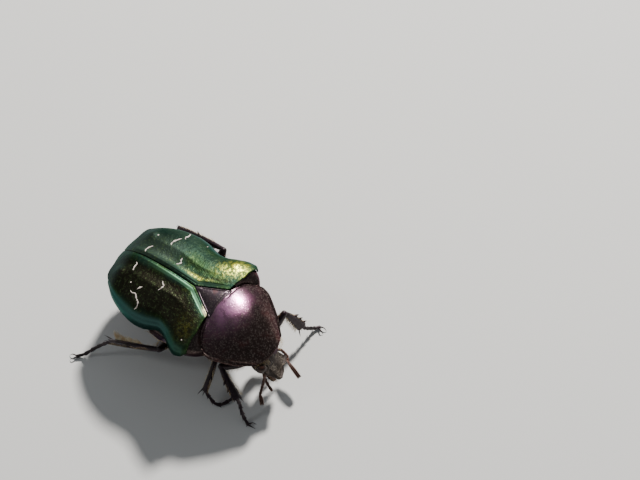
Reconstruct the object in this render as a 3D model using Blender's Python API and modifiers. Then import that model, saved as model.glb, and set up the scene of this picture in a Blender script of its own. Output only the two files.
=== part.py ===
"""Rose chafer, a life-size still model, standing on its six feet.

Shapes are drawn in millimetres in the beetle's own frame: X to its left, Y toward its rear, Z up,
with the origin on the back where the pronotum ends.  The last step moves them onto the floor and
turns millimetres into metres.
"""
import math

import bmesh
import bpy
import numpy as np
from mathutils import Matrix, Vector

# Place and scale of the finished model
METRES_PER_MM = 0.001
FLOOR_Z = -8.4
CENTRE_X = -1.22
CENTRE_Y = 2.549
GAP = 0.3
MERGE = 0.0001
SHARP_DEGREES = 40.0

# Pronotum: half width, edge height and middle line from the front margin (0) to the hind margin (1)
PRONOTUM_FRONT_Y = -5.4
PRONOTUM_FRONT_SWEEP = 0.65
PRONOTUM_FRONT_CURVE = 2.2
PRONOTUM_BASE_Y = 0.4
PRONOTUM_HIND_SWEEP = 1.25
PRONOTUM_HIND_CURVE = 3.2
PRONOTUM_STRAIGHT = 0.35
PRONOTUM_RUN = (0.0, 0.15, 0.275, 0.45, 0.6, 0.8, 0.92, 1.0)
PRONOTUM_HALF_WIDTH = (1.95, 2.5, 2.95, 3.4, 3.75, 4.12, 4.17, 4.05)
PRONOTUM_EDGE_Z = (-3.0, -2.8, -2.65, -2.4, -2.15, -1.9, -1.75, -1.6)
PRONOTUM_MIDDLE_Z = (-2.65, -1.8, -1.2, -0.55, -0.2, 0.0, 0.03, 0.0)
PRONOTUM_ARCH = 2.3
PRONOTUM_DEPTH = (1.75, 2.3, 2.6, 2.9, 3.05, 3.2, 3.3, 3.35)
PRONOTUM_LOWER_ARCH = 1.35

# Scutellum
SCUTELLUM_HALF_WIDTH = 1.31
SCUTELLUM_TIP_HALF_WIDTH = 0.06
SCUTELLUM_TIP_Y = 2.95
SCUTELLUM_HEIGHT = 0.05
SCUTELLUM_FALL = 0.12
SCUTELLUM_THICKNESS = 0.75

# Wing cases: outer edge, from the base at the scutellum round the shoulder to the tip
ELYTRON_THICKNESS = 0.6
ELYTRON_BASE = ((1.62, 0.74), (2.3, 0.66), (3.0, 0.5), (3.5, 0.4), (4.0, 0.4), (4.6, 0.28), (5.12, 0.18))
ELYTRON_SIDE = ((5.12, 0.18), (5.43, 0.6), (5.47, 1.3), (5.18, 2.1), (4.68, 3.0), (4.46, 3.8), (4.66, 4.6),
                (4.9, 5.4), (4.98, 6.3), (4.85, 7.3), (4.55, 8.4), (4.05, 9.5), (3.35, 10.45))
ELYTRON_TIP = ((3.35, 10.45), (2.85, 10.85), (2.3, 11.02), (1.7, 11.1), (1.1, 11.27), (0.6, 11.38),
               (0.15, 11.36))
SUTURE_Y = (0.74, 2.0, 3.0, 5.0, 7.0, 8.5, 9.5, 10.3, 10.9, 11.4)
SUTURE_Z = (0.0, 0.05, 0.06, 0.0, -0.25, -0.6, -1.02, -1.5, -2.0, -2.62)
EDGE_Y = (0.2, 0.9, 2.0, 3.0, 3.8, 4.6, 5.4, 7.3, 9.6, 10.5, 11.4)
EDGE_Z = (-1.5, -2.2, -2.7, -2.55, -2.45, -2.75, -3.05, -3.2, -3.2, -3.1, -2.7)
ELYTRON_SQUARENESS = 2.5

# Relief of a wing case: how far from the suture, how wide and how high, and where along it each grows
SUTURE_RIDGE = (0.38, 0.26, 0.16)
SUTURE_TROUGH = (1.15, 0.5, -0.14)
RELIEF_Y = (2.6, 4.5, 9.0, 10.8)
RELIEF_GROWTH = (0.0, 0.7, 1.0, 0.0)
TIP_BUMP = (2.35, 9.9, 0.55, 0.28)

# Thorax under the wing cases, and abdomen
THORAX_END_Y = 4.7
THORAX_FRONT_HALF_WIDTH = 3.65
THORAX_WIDENS_Y = 1.6
BODY_CLEARANCE = 1.05
BODY_DROP = 0.2
BODY_SQUARENESS = 2.4
FLANK_Z = -3.55
FLANK_THICKNESS = 0.3
FLANK_HALF_WIDTH_Y = (-0.9, 0.6, 2.0, 3.5, 4.7, 6.0, 7.5, 9.0, 10.0, 10.6)
FLANK_HALF_WIDTH = (3.4, 4.1, 4.5, 4.58, 4.5, 4.4, 4.2, 3.75, 3.25, 2.9)
BELLY_Y = (-0.5, 0.7, 1.6, 3.0, 5.0, 7.0, 9.0, 10.0, 10.8)
BELLY_Z = (-5.0, -5.75, -6.5, -6.75, -6.7, -6.6, -6.35, -6.1, -5.8)
BELLY_FRACTION = (0.0, 0.2, 0.35, 0.5, 0.65, 0.8, 0.92, 1.0)
BELLY_FALL = (1.0, 0.985, 0.92, 0.77, 0.575, 0.36, 0.17, 0.0)
ABDOMEN_FALL = (1.0, 0.99, 0.955, 0.88, 0.76, 0.58, 0.36, 0.0)
SIDE_PLATE = (4.42, -0.25, -2.4)
SIDE_PLATE_SIZE = (0.52, 0.3, 1.15)
SIDE_ROOT = (3.68, 0.55, -3.2)
SIDE_ROOT_SIZE = (0.8, 0.98, 0.62)
BREAST_KNOB = (0.0, 1.0, -6.3)
BREAST_KNOB_SIZE = (0.5, 0.75, 0.45)
HIP_PLATE_Y = 3.5
HIP_PLATE_STEP = 0.12
ABDOMEN_EASE = 2.5
STERNITE_ENDS_Y = (6.1, 7.2, 8.3, 9.3, 10.0)
STERNITE_STEP = 0.1
STERNITE_LIP = 0.02

# Pygidium
PYGIDIUM_TOP_Z = -3.7
PYGIDIUM_HALF_WIDTH = 2.9
PYGIDIUM_NARROWING = 0.45
PYGIDIUM_THICKNESS = 0.6
PYGIDIUM_BULGE = 0.55

# Head, in its own frame: left, forward along the face, up from the face
HEAD_PLACE = (-0.12, -4.85, -3.33)
HEAD_YAW = 21.5
HEAD_DROOP = 49.2
HEAD_ROLL = -9.0
HEAD_STATIONS = (-0.75, -0.35, 0.1, 0.6, 1.0, 1.35, 1.8, 2.2, 2.45)
HEAD_HALF_WIDTH = (1.15, 1.38, 1.48, 1.44, 1.3, 1.25, 1.28, 1.28, 1.2)
HEAD_TOP = (-0.3, -0.02, 0.08, 0.05, -0.04, -0.1, -0.13, -0.1, -0.05)
HEAD_BOTTOM = (-1.35, -1.55, -1.6, -1.5, -1.3, -1.1, -0.85, -0.66, -0.6)
HEAD_SQUARENESS = 0.7
HEAD_SIDES = 24
HEAD_RINGS = 15
CLYPEUS_RIM = 0.16
CLYPEUS_RIM_PATH = ((1.22, 1.15, -0.06), (1.25, 1.7, -0.08), (1.25, 2.15, -0.06), (1.08, 2.36, -0.04),
                    (0.5, 2.38, -0.03))
CLYPEUS_NOTCH = 0.28
NOTCH_HALF_WIDTH = 0.45
NOTCH_START = 2.3
EYE_PLACE = (1.36, 0.08, -0.52)
EYE_SIZE = (0.42, 0.5, 0.52)
BROW_PLACE = (1.35, 0.66, -0.3)
BROW_SIZE = (0.36, 0.3, 0.2)

# Feelers: joints of the stalk, then both ends of the club
ANTENNA_RIGHT = ((-1.39, -5.5, -4.56), (-1.75, -5.6, -5.3), (-2.3, -5.78, -5.75), (-2.72, -5.95, -5.85))
ANTENNA_LEFT = ((0.96, -4.47, -5.04), (1.75, -4.85, -5.6), (1.85, -5.35, -6.2), (1.5, -5.72, -6.45))
CLUB_RIGHT = ((-2.68, -5.93, -5.84), (-2.93, -6.29, -6.87))
CLUB_LEFT = ((1.55, -5.6, -6.4), (0.98, -7.4, -6.6))
STALK_RADIUS = 0.25
CLUB_LEAVES = (-1, 0, 1)
CLUB_FACING = (-0.37, -0.31, 0.88)
LEAF_PLACES = (0.0, 0.3, 0.75, 1.0)
LEAF_HALF_WIDTH = (0.25, 0.36, 0.36, 0.14)
LEAF_HALF_THICKNESS = (0.25, 0.2, 0.14, 0.07)
LEAF_SPREAD = (0.02, 0.06, 0.13, 0.14)
LEAF_STAGGER = 0.07

# Mouthparts
MOUTH_PLACE = (0.0, 1.55, -1.62)
MOUTH_SIZE = (0.75, 0.75, 0.4)
PALP_RADIUS = (0.25, 0.25, 0.275, 0.15)
PALPS = (((-0.5, 1.5, -1.7), (-0.95, 1.95, -1.85), (-1.38, 2.4, -1.75), (-1.8, 2.78, -1.55)),
         ((0.55, 1.5, -1.7), (1.05, 1.9, -1.8), (1.3, 2.35, -1.9), (1.2, 2.8, -2.1)))

# Legs: root on the body, hip, knee, ankle, then the joints of the foot down to the floor
FEET_LOW_Z = -8.2
LEGS = {
    "leg_front_right": dict(
        root=(-0.95, -2.9), hip=(-0.75, -3.05, -6.05), knee=(-3.18, -1.98, -4.4), ankle=(-4.25, -4.62, -5.75),
        foot=((-4.27, -4.85, -6.55), (-4.53, -5.25, -7.2), (-4.63, -5.62, -7.95), (-4.8, -6.15, FEET_LOW_Z)),
        claw=(-4.5, -6.75, -8.3)),
    "leg_front_left": dict(
        root=(1.25, -2.9), hip=(1.5, -3.05, -6.0), knee=(4.16, -3.39, -3.85), ankle=(5.01, -4.54, -6.5),
        foot=((5.3, -4.72, -7.0), (5.78, -4.88, -7.6), (6.25, -5.04, -8.08), (6.62, -5.3, FEET_LOW_Z)),
        claw=(6.5, -5.95, -8.3)),
    "leg_middle_right": dict(
        root=(-1.35, 1.9), hip=(-1.4, 1.6, -7.05), knee=(-2.52, -0.98, -4.95), ankle=(-4.93, -1.5, -6.85),
        foot=((-5.02, -2.0, -7.4), (-5.03, -2.45, -7.9), (-4.73, -3.0, FEET_LOW_Z),
              (-4.08, -3.32, FEET_LOW_Z), (-3.45, -3.5, FEET_LOW_Z)),
        claw=(-2.85, -3.8, -8.3)),
    "leg_middle_left": dict(
        root=(1.45, 1.9), hip=(1.6, 1.6, -7.05), knee=(4.4, 0.6, -5.0), ankle=(6.05, 2.2, -7.0),
        foot=((6.33, 2.75, -7.6), (6.45, 3.4, -8.05), (6.42, 4.1, FEET_LOW_Z), (6.25, 4.75, FEET_LOW_Z)),
        claw=(6.0, 5.4, -8.3)),
    "leg_hind_right": dict(
        root=(-1.45, 4.0), hip=(-1.6, 4.2, -7.5), knee=(-5.2, 3.3, -4.2), ankle=(-6.7, 7.75, -5.55),
        foot=((-7.15, 8.6, -6.6), (-7.7, 9.25, -7.45), (-8.2, 9.75, -8.05), (-8.65, 10.15, FEET_LOW_Z)),
        claw=(-9.1, 10.65, -8.3)),
    "leg_hind_left": dict(
        root=(1.6, 4.0), hip=(1.9, 4.25, -7.45), knee=(5.95, 4.85, -3.9), ankle=(5.4, 9.7, -4.9),
        foot=((5.2, 10.4, -5.95), (5.05, 10.8, -7.05), (4.97, 11.2, -8.0), (4.85, 11.85, FEET_LOW_Z)),
        claw=(4.75, 12.5, -8.3)),
}
ROOT_GAP = {"front": 0.36, "middle": 0.36, "hind": 0.38}
COXA_RADIUS = 0.5
COXA_SHAPE = (1.0, 1.05, 0.9, 0.4)
COXA_CAP = 0.35
THIGH_PLACES = (0.0, 0.2, 0.5, 0.8, 1.0)
THIGH_HALF_WIDTH = {"front": (0.25, 0.36, 0.46, 0.4, 0.3), "middle": (0.25, 0.36, 0.47, 0.4, 0.3),
                    "hind": (0.26, 0.4, 0.64, 0.54, 0.33)}
THIGH_HALF_THICKNESS = (0.25, 0.29, 0.31, 0.29, 0.29)
SHIN_PLACES = (0.0, 0.15, 0.5, 0.85, 1.0)
SHIN_HALF_WIDTH = {"front": (0.27, 0.3, 0.38, 0.46, 0.46), "middle": (0.27, 0.29, 0.33, 0.38, 0.38),
                   "hind": (0.27, 0.29, 0.33, 0.38, 0.38)}
SHIN_HALF_THICKNESS = (0.27, 0.27, 0.27, 0.27, 0.27)
TEETH = {"front": (0.62, 0.86), "middle": (0.55,), "hind": (0.55,)}
TOOTH_RADIUS = 0.24
TOOTH_REACH = 0.32
TOOTH_LEAN = 0.3
SPURS = {"front": (-1.0,), "middle": (-1.0, 1.0), "hind": (-1.0, 1.0)}
SPUR_RADIUS = 0.17
SPUR_ROOT = (-0.28, -0.78, 0.14)
SPUR_REACH = (0.64, -0.48, 0.22)
SPIKE_TIP_RADIUS = 0.04
FOOT_RADIUS = 0.28
FOOT_WAIST = 0.25
FOOT_BEAD = 0.75
SOLE_RADIUS = 0.295
CLAW_RADIUS = (0.2, 0.16, 0.05)
CLAW_SPREAD = (0.2, 0.25)
CLAW_BEND = 0.6
CLAW_ARCH = 0.12

# Rings and steps of the meshes
BODY_COLUMNS = 25
PRONOTUM_ROWS = 13
ABDOMEN_COLUMNS = 21
ELYTRON_COLUMNS = (0.0, 0.055, 0.11, 0.18, 0.26, 0.36, 0.47, 0.58, 0.69, 0.79, 0.87, 0.93, 0.975, 1.0)
ELYTRON_ROWS = 23
LIMB_SIDES = 10
STALK_SIDES = 8
FLOOR_BLOCK = 8.0

COLOURS = {
    "pronotum": ((0.045, 0.02, 0.035), 0.3, 0.85),
    "scutellum": ((0.04, 0.02, 0.032), 0.35, 0.8),
    "elytron": ((0.02, 0.07, 0.035), 0.35, 0.85),
    "thorax": ((0.06, 0.025, 0.05), 0.4, 0.7),
    "abdomen": ((0.04, 0.02, 0.04), 0.35, 0.8),
    "pygidium": ((0.04, 0.03, 0.035), 0.4, 0.7),
    "head": ((0.07, 0.05, 0.045), 0.5, 0.5),
    "eye": ((0.02, 0.012, 0.01), 0.15, 0.0),
    "antenna": ((0.06, 0.025, 0.018), 0.45, 0.1),
    "mouthparts": ((0.06, 0.03, 0.02), 0.45, 0.1),
    "leg": ((0.03, 0.018, 0.022), 0.35, 0.5),
}


def table(places, values):
    """Return a smooth function through the given values, without overshoot."""
    x = np.array(places, dtype=float)
    y = np.array(values, dtype=float)
    run = np.diff(x)
    slope = np.diff(y) / run
    tangent = np.zeros_like(y)
    tangent[0] = slope[0]
    tangent[-1] = slope[-1]
    for i in range(1, len(x) - 1):
        if slope[i - 1] * slope[i] > 0.0:
            first = 2.0 * run[i] + run[i - 1]
            second = run[i] + 2.0 * run[i - 1]
            tangent[i] = (first + second) / (first / slope[i - 1] + second / slope[i])

    def value(t):
        t = min(max(t, x[0]), x[-1])
        i = min(int(np.searchsorted(x, t, side="right")) - 1, len(run) - 1)
        h = run[i]
        s = (t - x[i]) / h
        return float((2 * s**3 - 3 * s**2 + 1) * y[i] + (s**3 - 2 * s**2 + s) * h * tangent[i]
                     + (3 * s**2 - 2 * s**3) * y[i + 1] + (s**3 - s**2) * h * tangent[i + 1])
    return value


def curve_through(points):
    """Return a function from 0..1 to a point on a smooth line through the points."""
    pts = np.array(points, dtype=float)
    lengths = np.concatenate([[0.0], np.cumsum(np.linalg.norm(np.diff(pts, axis=0), axis=1))])
    axes = [table(lengths / lengths[-1], pts[:, k]) for k in range(pts.shape[1])]
    return lambda t: np.array([axis(t) for axis in axes])


def unit(v):
    """Return a vector of length one."""
    v = np.array(v, dtype=float)
    return v / np.linalg.norm(v)


def spread(count):
    """Return places from -1 to 1, closer together toward both ends."""
    return [math.sin(math.pi * (i / (count - 1) - 0.5)) for i in range(count)]


def steps(count):
    """Return even places from 0 to 1."""
    return [i / (count - 1) for i in range(count)]


def link(name, shape):
    """Turn a bmesh into a new object of the scene."""
    mesh = bpy.data.meshes.new(name)
    shape.to_mesh(mesh)
    shape.free()
    obj = bpy.data.objects.new(name, mesh)
    bpy.context.scene.collection.objects.link(obj)
    return obj


def from_faces(name, vertices, faces, closed=True):
    """Make an object from millimetre points; a closed one has its doubles joined and faces outward."""
    mesh = bpy.data.meshes.new(name)
    mesh.from_pydata([tuple(float(c) for c in v) for v in vertices], [], faces)
    shape = bmesh.new()
    shape.from_mesh(mesh)
    bpy.data.meshes.remove(mesh)
    if closed:
        bmesh.ops.remove_doubles(shape, verts=shape.verts, dist=MERGE)
        bmesh.ops.dissolve_degenerate(shape, dist=MERGE, edges=shape.edges)
        bmesh.ops.recalc_face_normals(shape, faces=shape.faces)
    return link(name, shape)


def grid_faces(columns, rows):
    """Return the four-sided faces of a grid of points stored row by row."""
    return [(j * columns + i, j * columns + i + 1, (j + 1) * columns + i + 1, (j + 1) * columns + i)
            for j in range(rows - 1) for i in range(columns - 1)]


def slab(name, upper, lower, across, along):
    """Close the space between an upper and a lower surface over the same grid."""
    columns = len(across)
    rows = len(along)
    vertices = [upper(u, v) for v in along for u in across]
    vertices += [lower(u, v) for v in along for u in across]
    base = columns * rows
    faces = grid_faces(columns, rows)
    faces += [tuple(base + i for i in reversed(face)) for face in faces]
    border = [(i, i + 1) for i in range(columns - 1)]
    border += [(j * columns - 1, (j + 1) * columns - 1) for j in range(1, rows)]
    border += [(base - i, base - i - 1) for i in range(1, columns)]
    border += [((j + 1) * columns, j * columns) for j in reversed(range(rows - 1))]
    faces += [(b, a, base + a, base + b) for a, b in border]
    return from_faces(name, vertices, faces)


def plate(name, surface, across, along, thickness):
    """Make an open surface and give it its thickness on its inner side."""
    vertices = [surface(u, v) for v in along for u in across]
    obj = from_faces(name, vertices, grid_faces(len(across), len(along)), closed=False)
    solidify = obj.modifiers.new("thickness", "SOLIDIFY")
    solidify.thickness = thickness
    solidify.offset = -1.0
    apply_modifiers(obj)
    return obj


def mirrored(obj, name):
    """Return a copy of a part on the beetle's other side."""
    shape = bmesh.new()
    shape.from_mesh(obj.data)
    bmesh.ops.scale(shape, vec=(-1.0, 1.0, 1.0), verts=shape.verts)
    bmesh.ops.reverse_faces(shape, faces=shape.faces)
    return link(name, shape)


def loft(name, rings):
    """Join rings of equal count into a closed body, each end closed by a fan."""
    count = len(rings[0])
    vertices = [p for ring in rings for p in ring]
    faces = []
    for k in range(len(rings) - 1):
        for i in range(count):
            j = (i + 1) % count
            faces.append((k * count + i, k * count + j, (k + 1) * count + j, (k + 1) * count + i))
    for k in (0, len(rings) - 1):
        centre = len(vertices)
        vertices.append(np.mean(np.array(rings[k], dtype=float), axis=0))
        faces += [(k * count + (i + 1) % count, k * count + i, centre) for i in range(count)]
    return from_faces(name, vertices, faces)


def ball(name, centre, size, turn=None, sides=16, rows=10):
    """Make an ellipsoid from its centre, its half sizes and, where it is tilted, its turn."""
    place = Matrix.Translation(Vector(centre))
    if turn is not None:
        place = place @ turn.to_4x4()
    shape = bmesh.new()
    bmesh.ops.create_uvsphere(shape, u_segments=sides, v_segments=rows, radius=1.0)
    bmesh.ops.transform(shape, matrix=place @ Matrix.Diagonal((*size, 1.0)), verts=shape.verts)
    bmesh.ops.recalc_face_normals(shape, faces=shape.faces)
    return link(name, shape)


def spike(name, root, tip, radius, sides=5):
    """Make a cone from a buried root to a sharp tip."""
    root = Vector(root)
    axis = Vector(tip) - root
    place = Matrix.Translation(root + axis / 2.0) @ axis.to_track_quat("Z", "Y").to_matrix().to_4x4()
    shape = bmesh.new()
    bmesh.ops.create_cone(shape, cap_ends=True, segments=sides, radius1=radius, radius2=SPIKE_TIP_RADIUS,
                          depth=axis.length, matrix=place)
    return link(name, shape)


def tube(name, points, widths, heights, wide, start_face=None, end_face=None, sides=LIMB_SIDES):
    """Loft ellipses along a line of points, each end cut square to its given face direction."""
    pts = np.array(points, dtype=float)
    rings = []
    last = len(pts) - 1
    for k, centre in enumerate(pts):
        if k == 0:
            direction = unit(pts[1] - centre)
        elif k == last:
            direction = unit(centre - pts[last - 1])
        else:
            direction = unit(unit(pts[k + 1] - centre) + unit(centre - pts[k - 1]))
        side = unit(np.array(wide, dtype=float) - direction * np.dot(wide, direction))
        height = np.cross(direction, side)
        face = {0: start_face, last: end_face}.get(k)
        ring = []
        for i in range(sides):
            angle = 2.0 * math.pi * i / sides
            p = centre + side * (widths[k] * math.cos(angle)) + height * (heights[k] * math.sin(angle))
            if face is not None:
                p = p + direction * (np.dot(centre - p, face) / np.dot(direction, face))
            ring.append(p)
        rings.append(ring)
    return loft(name, rings)


def apply_modifiers(obj):
    """Turn an object's modifiers into its mesh."""
    graph = bpy.context.evaluated_depsgraph_get()
    mesh = bpy.data.meshes.new_from_object(obj.evaluated_get(graph))
    obj.modifiers.clear()
    old = obj.data
    obj.data = mesh
    bpy.data.meshes.remove(old)


def combine(body, pieces, operation):
    """Unite a body with closed pieces or cut them out of it, then remove the pieces."""
    group = bpy.data.collections.new(body.name + "_pieces")
    bpy.context.scene.collection.children.link(group)
    for piece in pieces:
        bpy.context.scene.collection.objects.unlink(piece)
        group.objects.link(piece)
    boolean = body.modifiers.new("pieces", "BOOLEAN")
    boolean.operation = operation
    boolean.operand_type = "COLLECTION"
    boolean.collection = group
    boolean.solver = "MANIFOLD"
    apply_modifiers(body)
    for piece in pieces:
        bpy.data.objects.remove(piece)
    bpy.data.collections.remove(group)
    keep_largest(body)
    return body


def keep_largest(obj):
    """Keep only the largest closed surface of a mesh."""
    shape = bmesh.new()
    shape.from_mesh(obj.data)
    bmesh.ops.remove_doubles(shape, verts=shape.verts, dist=MERGE)
    left = set(shape.verts)
    groups = []
    while left:
        group = {left.pop()}
        front = list(group)
        while front:
            near = {vert for edge in front.pop().link_edges for vert in edge.verts} & left
            left -= near
            group |= near
            front += near
        groups.append(group)
    groups.sort(key=len, reverse=True)
    spare = [vert for group in groups[1:] for vert in group]
    if spare:
        bmesh.ops.delete(shape, geom=spare, context="VERTS")
    bmesh.ops.recalc_face_normals(shape, faces=shape.faces)
    shape.to_mesh(obj.data)
    shape.free()


pronotum_width = table(PRONOTUM_RUN, PRONOTUM_HALF_WIDTH)
pronotum_edge = table(PRONOTUM_RUN, PRONOTUM_EDGE_Z)
pronotum_middle = table(PRONOTUM_RUN, PRONOTUM_MIDDLE_Z)
pronotum_depth = table(PRONOTUM_RUN, PRONOTUM_DEPTH)
flank_width = table(FLANK_HALF_WIDTH_Y, FLANK_HALF_WIDTH)
belly_height = table(BELLY_Y, BELLY_Z)
thorax_fall = table(BELLY_FRACTION, BELLY_FALL)
abdomen_fall = table(BELLY_FRACTION, ABDOMEN_FALL)
suture_height = table(SUTURE_Y, SUTURE_Z)
edge_height = table(EDGE_Y, EDGE_Z)
relief_growth = table(RELIEF_Y, RELIEF_GROWTH)
elytron_width = table([p[1] for p in ELYTRON_SIDE], [p[0] for p in ELYTRON_SIDE])
elytron_base = curve_through(ELYTRON_BASE)
elytron_side = curve_through(ELYTRON_SIDE)
elytron_tip = curve_through(ELYTRON_TIP)


def hind_margin(x):
    """Return how far back the pronotum reaches at a distance from the middle."""
    u = min(abs(x) / PRONOTUM_HALF_WIDTH[-1], 1.0)
    beyond = max(u - PRONOTUM_STRAIGHT, 0.0) / (1.0 - PRONOTUM_STRAIGHT)
    return PRONOTUM_BASE_Y - PRONOTUM_HIND_SWEEP * beyond**PRONOTUM_HIND_CURVE


def pronotum_place(u, v):
    """Return plan position on the pronotum."""
    front = PRONOTUM_FRONT_Y + PRONOTUM_FRONT_SWEEP * abs(u)**PRONOTUM_FRONT_CURVE
    hind = hind_margin(u * PRONOTUM_HALF_WIDTH[-1])
    return u * pronotum_width(v), front + (hind - front) * v


def pronotum_upper(u, v):
    """Upper surface of the pronotum."""
    x, y = pronotum_place(u, v)
    middle = pronotum_middle(v)
    return x, y, middle - (middle - pronotum_edge(v)) * abs(u)**PRONOTUM_ARCH


def pronotum_lower(u, v):
    """Under surface of the prothorax."""
    x, y = pronotum_place(u, v)
    return x, y, pronotum_edge(v) - pronotum_depth(v) * (1.0 - abs(u)**PRONOTUM_LOWER_ARCH)


def head_turn():
    """Return the matrix whose columns are the head's left, forward and up directions."""
    turn = Matrix.Rotation(math.radians(HEAD_YAW), 3, "Z")
    turn = turn @ Matrix.Rotation(math.radians(HEAD_DROOP), 3, "X")
    turn = turn @ Matrix.Rotation(math.radians(-HEAD_ROLL), 3, "Y")
    return turn @ Matrix.Diagonal((1.0, -1.0, 1.0))


def on_head(place):
    """Turn a place in the head's frame into the beetle's frame."""
    return np.array(Vector(HEAD_PLACE) + head_turn() @ Vector(place))


def head_shape(name, grow=0.0):
    """Loft the head from the neck to the front margin of the clypeus, or its hollow when grown."""
    width = table(HEAD_STATIONS, HEAD_HALF_WIDTH)
    top = table(HEAD_STATIONS, HEAD_TOP)
    bottom = table(HEAD_STATIONS, HEAD_BOTTOM)
    rings = []
    for share in steps(HEAD_RINGS):
        station = HEAD_STATIONS[0] + (HEAD_STATIONS[-1] - HEAD_STATIONS[0]) * share
        half = width(station) + grow
        middle = (top(station) + bottom(station)) / 2.0
        tall = (top(station) - bottom(station)) / 2.0 + grow
        ring = []
        for i in range(HEAD_SIDES):
            angle = 2.0 * math.pi * i / HEAD_SIDES
            across = math.copysign(abs(math.cos(angle))**HEAD_SQUARENESS, math.cos(angle))
            up = math.copysign(abs(math.sin(angle))**HEAD_SQUARENESS, math.sin(angle))
            ahead = station + grow * (2.0 * share - 1.0)
            if station > NOTCH_START:
                ahead -= CLYPEUS_NOTCH * max(0.0, 1.0 - abs(half * across) / NOTCH_HALF_WIDTH)
            ring.append(on_head((half * across, ahead, middle + tall * up)))
        rings.append(ring)
    return loft(name, rings)


def make_head():
    """Head with brows, a raised rim round the clypeus and sockets for the eyes."""
    head = head_shape("head")
    raised = []
    for side in (-1.0, 1.0):
        points = [on_head((side * x, y, z)) for x, y, z in CLYPEUS_RIM_PATH]
        radius = [CLYPEUS_RIM * 0.6] + [CLYPEUS_RIM] * (len(points) - 1)
        raised.append(tube("rim", points, radius, radius, on_head((0, 0, 1)) - on_head((0, 0, 0)), sides=6))
        raised.append(brow("brow", side))
    combine(head, raised, "UNION")
    return combine(head, [eye("socket", side, GAP) for side in (-1.0, 1.0)], "DIFFERENCE")


def eye(name, side, grow=0.0):
    """Make one eye, or its socket when grown by the gap."""
    centre = on_head((side * EYE_PLACE[0], *EYE_PLACE[1:]))
    return ball(name, centre, [s + grow for s in EYE_SIZE], head_turn())


def brow(name, side, grow=0.0):
    """Make the swelling before one eye, or room for it when grown."""
    centre = on_head((side * BROW_PLACE[0], *BROW_PLACE[1:]))
    return ball(name, centre, [s + grow for s in BROW_SIZE], head_turn())


def make_antenna(name, stalk, club):
    """Feeler with a stalk that meets the head and a club of three leaves, a little open."""
    points = [stalk[0]]
    for before, after in zip(stalk[:-1], stalk[1:]):
        points += [(np.array(before) + np.array(after)) / 2.0, after]
    radius = [STALK_RADIUS] * len(points)
    body = tube(name, points, radius, radius, (0.0, 0.0, 1.0), sides=STALK_SIDES)
    first, last = (np.array(end) for end in club)
    apart = unit(np.cross(unit(last - first), CLUB_FACING))
    leaves = []
    for k in CLUB_LEAVES:
        reach = (last - first) * (1.0 + k * LEAF_STAGGER)
        places = [last + reach * (t - 1.0) + apart * k * gap for t, gap in zip(LEAF_PLACES, LEAF_SPREAD)]
        leaves.append(tube("leaf", places, LEAF_HALF_WIDTH, LEAF_HALF_THICKNESS, CLUB_FACING))
    combine(body, leaves, "UNION")
    return combine(body, [head_shape("head_room", GAP)], "DIFFERENCE")


def mouth(name, grow=0.0):
    """Make the chin plate, or its hollow when grown."""
    return ball(name, on_head(MOUTH_PLACE), [s + grow for s in MOUTH_SIZE], head_turn())


def make_mouthparts():
    """Chin plate under the head with a palp on each side."""
    up = on_head((0, 0, 1)) - on_head((0, 0, 0))
    palps = []
    for path in PALPS:
        points = [on_head(p) for p in path]
        palps.append(tube("palp", points, PALP_RADIUS, PALP_RADIUS, up, sides=STALK_SIDES))
    body = combine(mouth("mouthparts"), palps, "UNION")
    return combine(body, [head_shape("head_room", GAP)], "DIFFERENCE")


def make_pronotum():
    """Prothorax: the pronotum above, the flanks and the breast below, hollowed for the head."""
    body = slab("pronotum", pronotum_upper, pronotum_lower, spread(BODY_COLUMNS), steps(PRONOTUM_ROWS))
    rooms = [head_shape("head_room", GAP), mouth("mouth_room", GAP)]
    for side in (-1.0, 1.0):
        rooms += [eye("eye_room", side, GAP), brow("brow_room", side, GAP)]
    for room in rooms:
        combine(body, [room], "DIFFERENCE")
    return body


def scutellum_surface(u, v):
    """Upper surface of the triangular plate between the wing cases."""
    base = PRONOTUM_BASE_Y + GAP
    half = SCUTELLUM_HALF_WIDTH * (1.0 - v) + SCUTELLUM_TIP_HALF_WIDTH * v
    z = SCUTELLUM_HEIGHT - SCUTELLUM_FALL * u * u * (1.0 - v)
    return u * half, base + (SCUTELLUM_TIP_Y - base) * v, z


def inner_edge(y):
    """Return where the wing case's inner edge lies beside the scutellum or at the suture."""
    slope = SCUTELLUM_HALF_WIDTH / (SCUTELLUM_TIP_Y - PRONOTUM_BASE_Y - GAP)
    return max(GAP / 2.0, slope * (SCUTELLUM_TIP_Y - y) + GAP * math.hypot(1.0, slope))


def elytron_plan(u, v):
    """Return the plan position on the left wing case by blending its four edges."""
    inner_y = ELYTRON_BASE[0][1] + (ELYTRON_TIP[-1][1] - ELYTRON_BASE[0][1]) * v
    inner = np.array((inner_edge(inner_y), inner_y))
    corners = [np.array(p) for p in (ELYTRON_BASE[0], ELYTRON_BASE[-1], ELYTRON_TIP[-1], ELYTRON_TIP[0])]
    return ((1 - u) * inner + u * elytron_side(v) + (1 - v) * elytron_base(u) + v * elytron_tip(1.0 - u)
            - (1 - u) * (1 - v) * corners[0] - u * (1 - v) * corners[1]
            - (1 - u) * v * corners[2] - u * v * corners[3])


def squarish(u, squareness):
    """Return how far an arch has fallen, from 0 at its crown to 1 at its foot."""
    return 1.0 - max(1.0 - min(abs(u), 1.0)**squareness, 0.0)**(1.0 / squareness)


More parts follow.
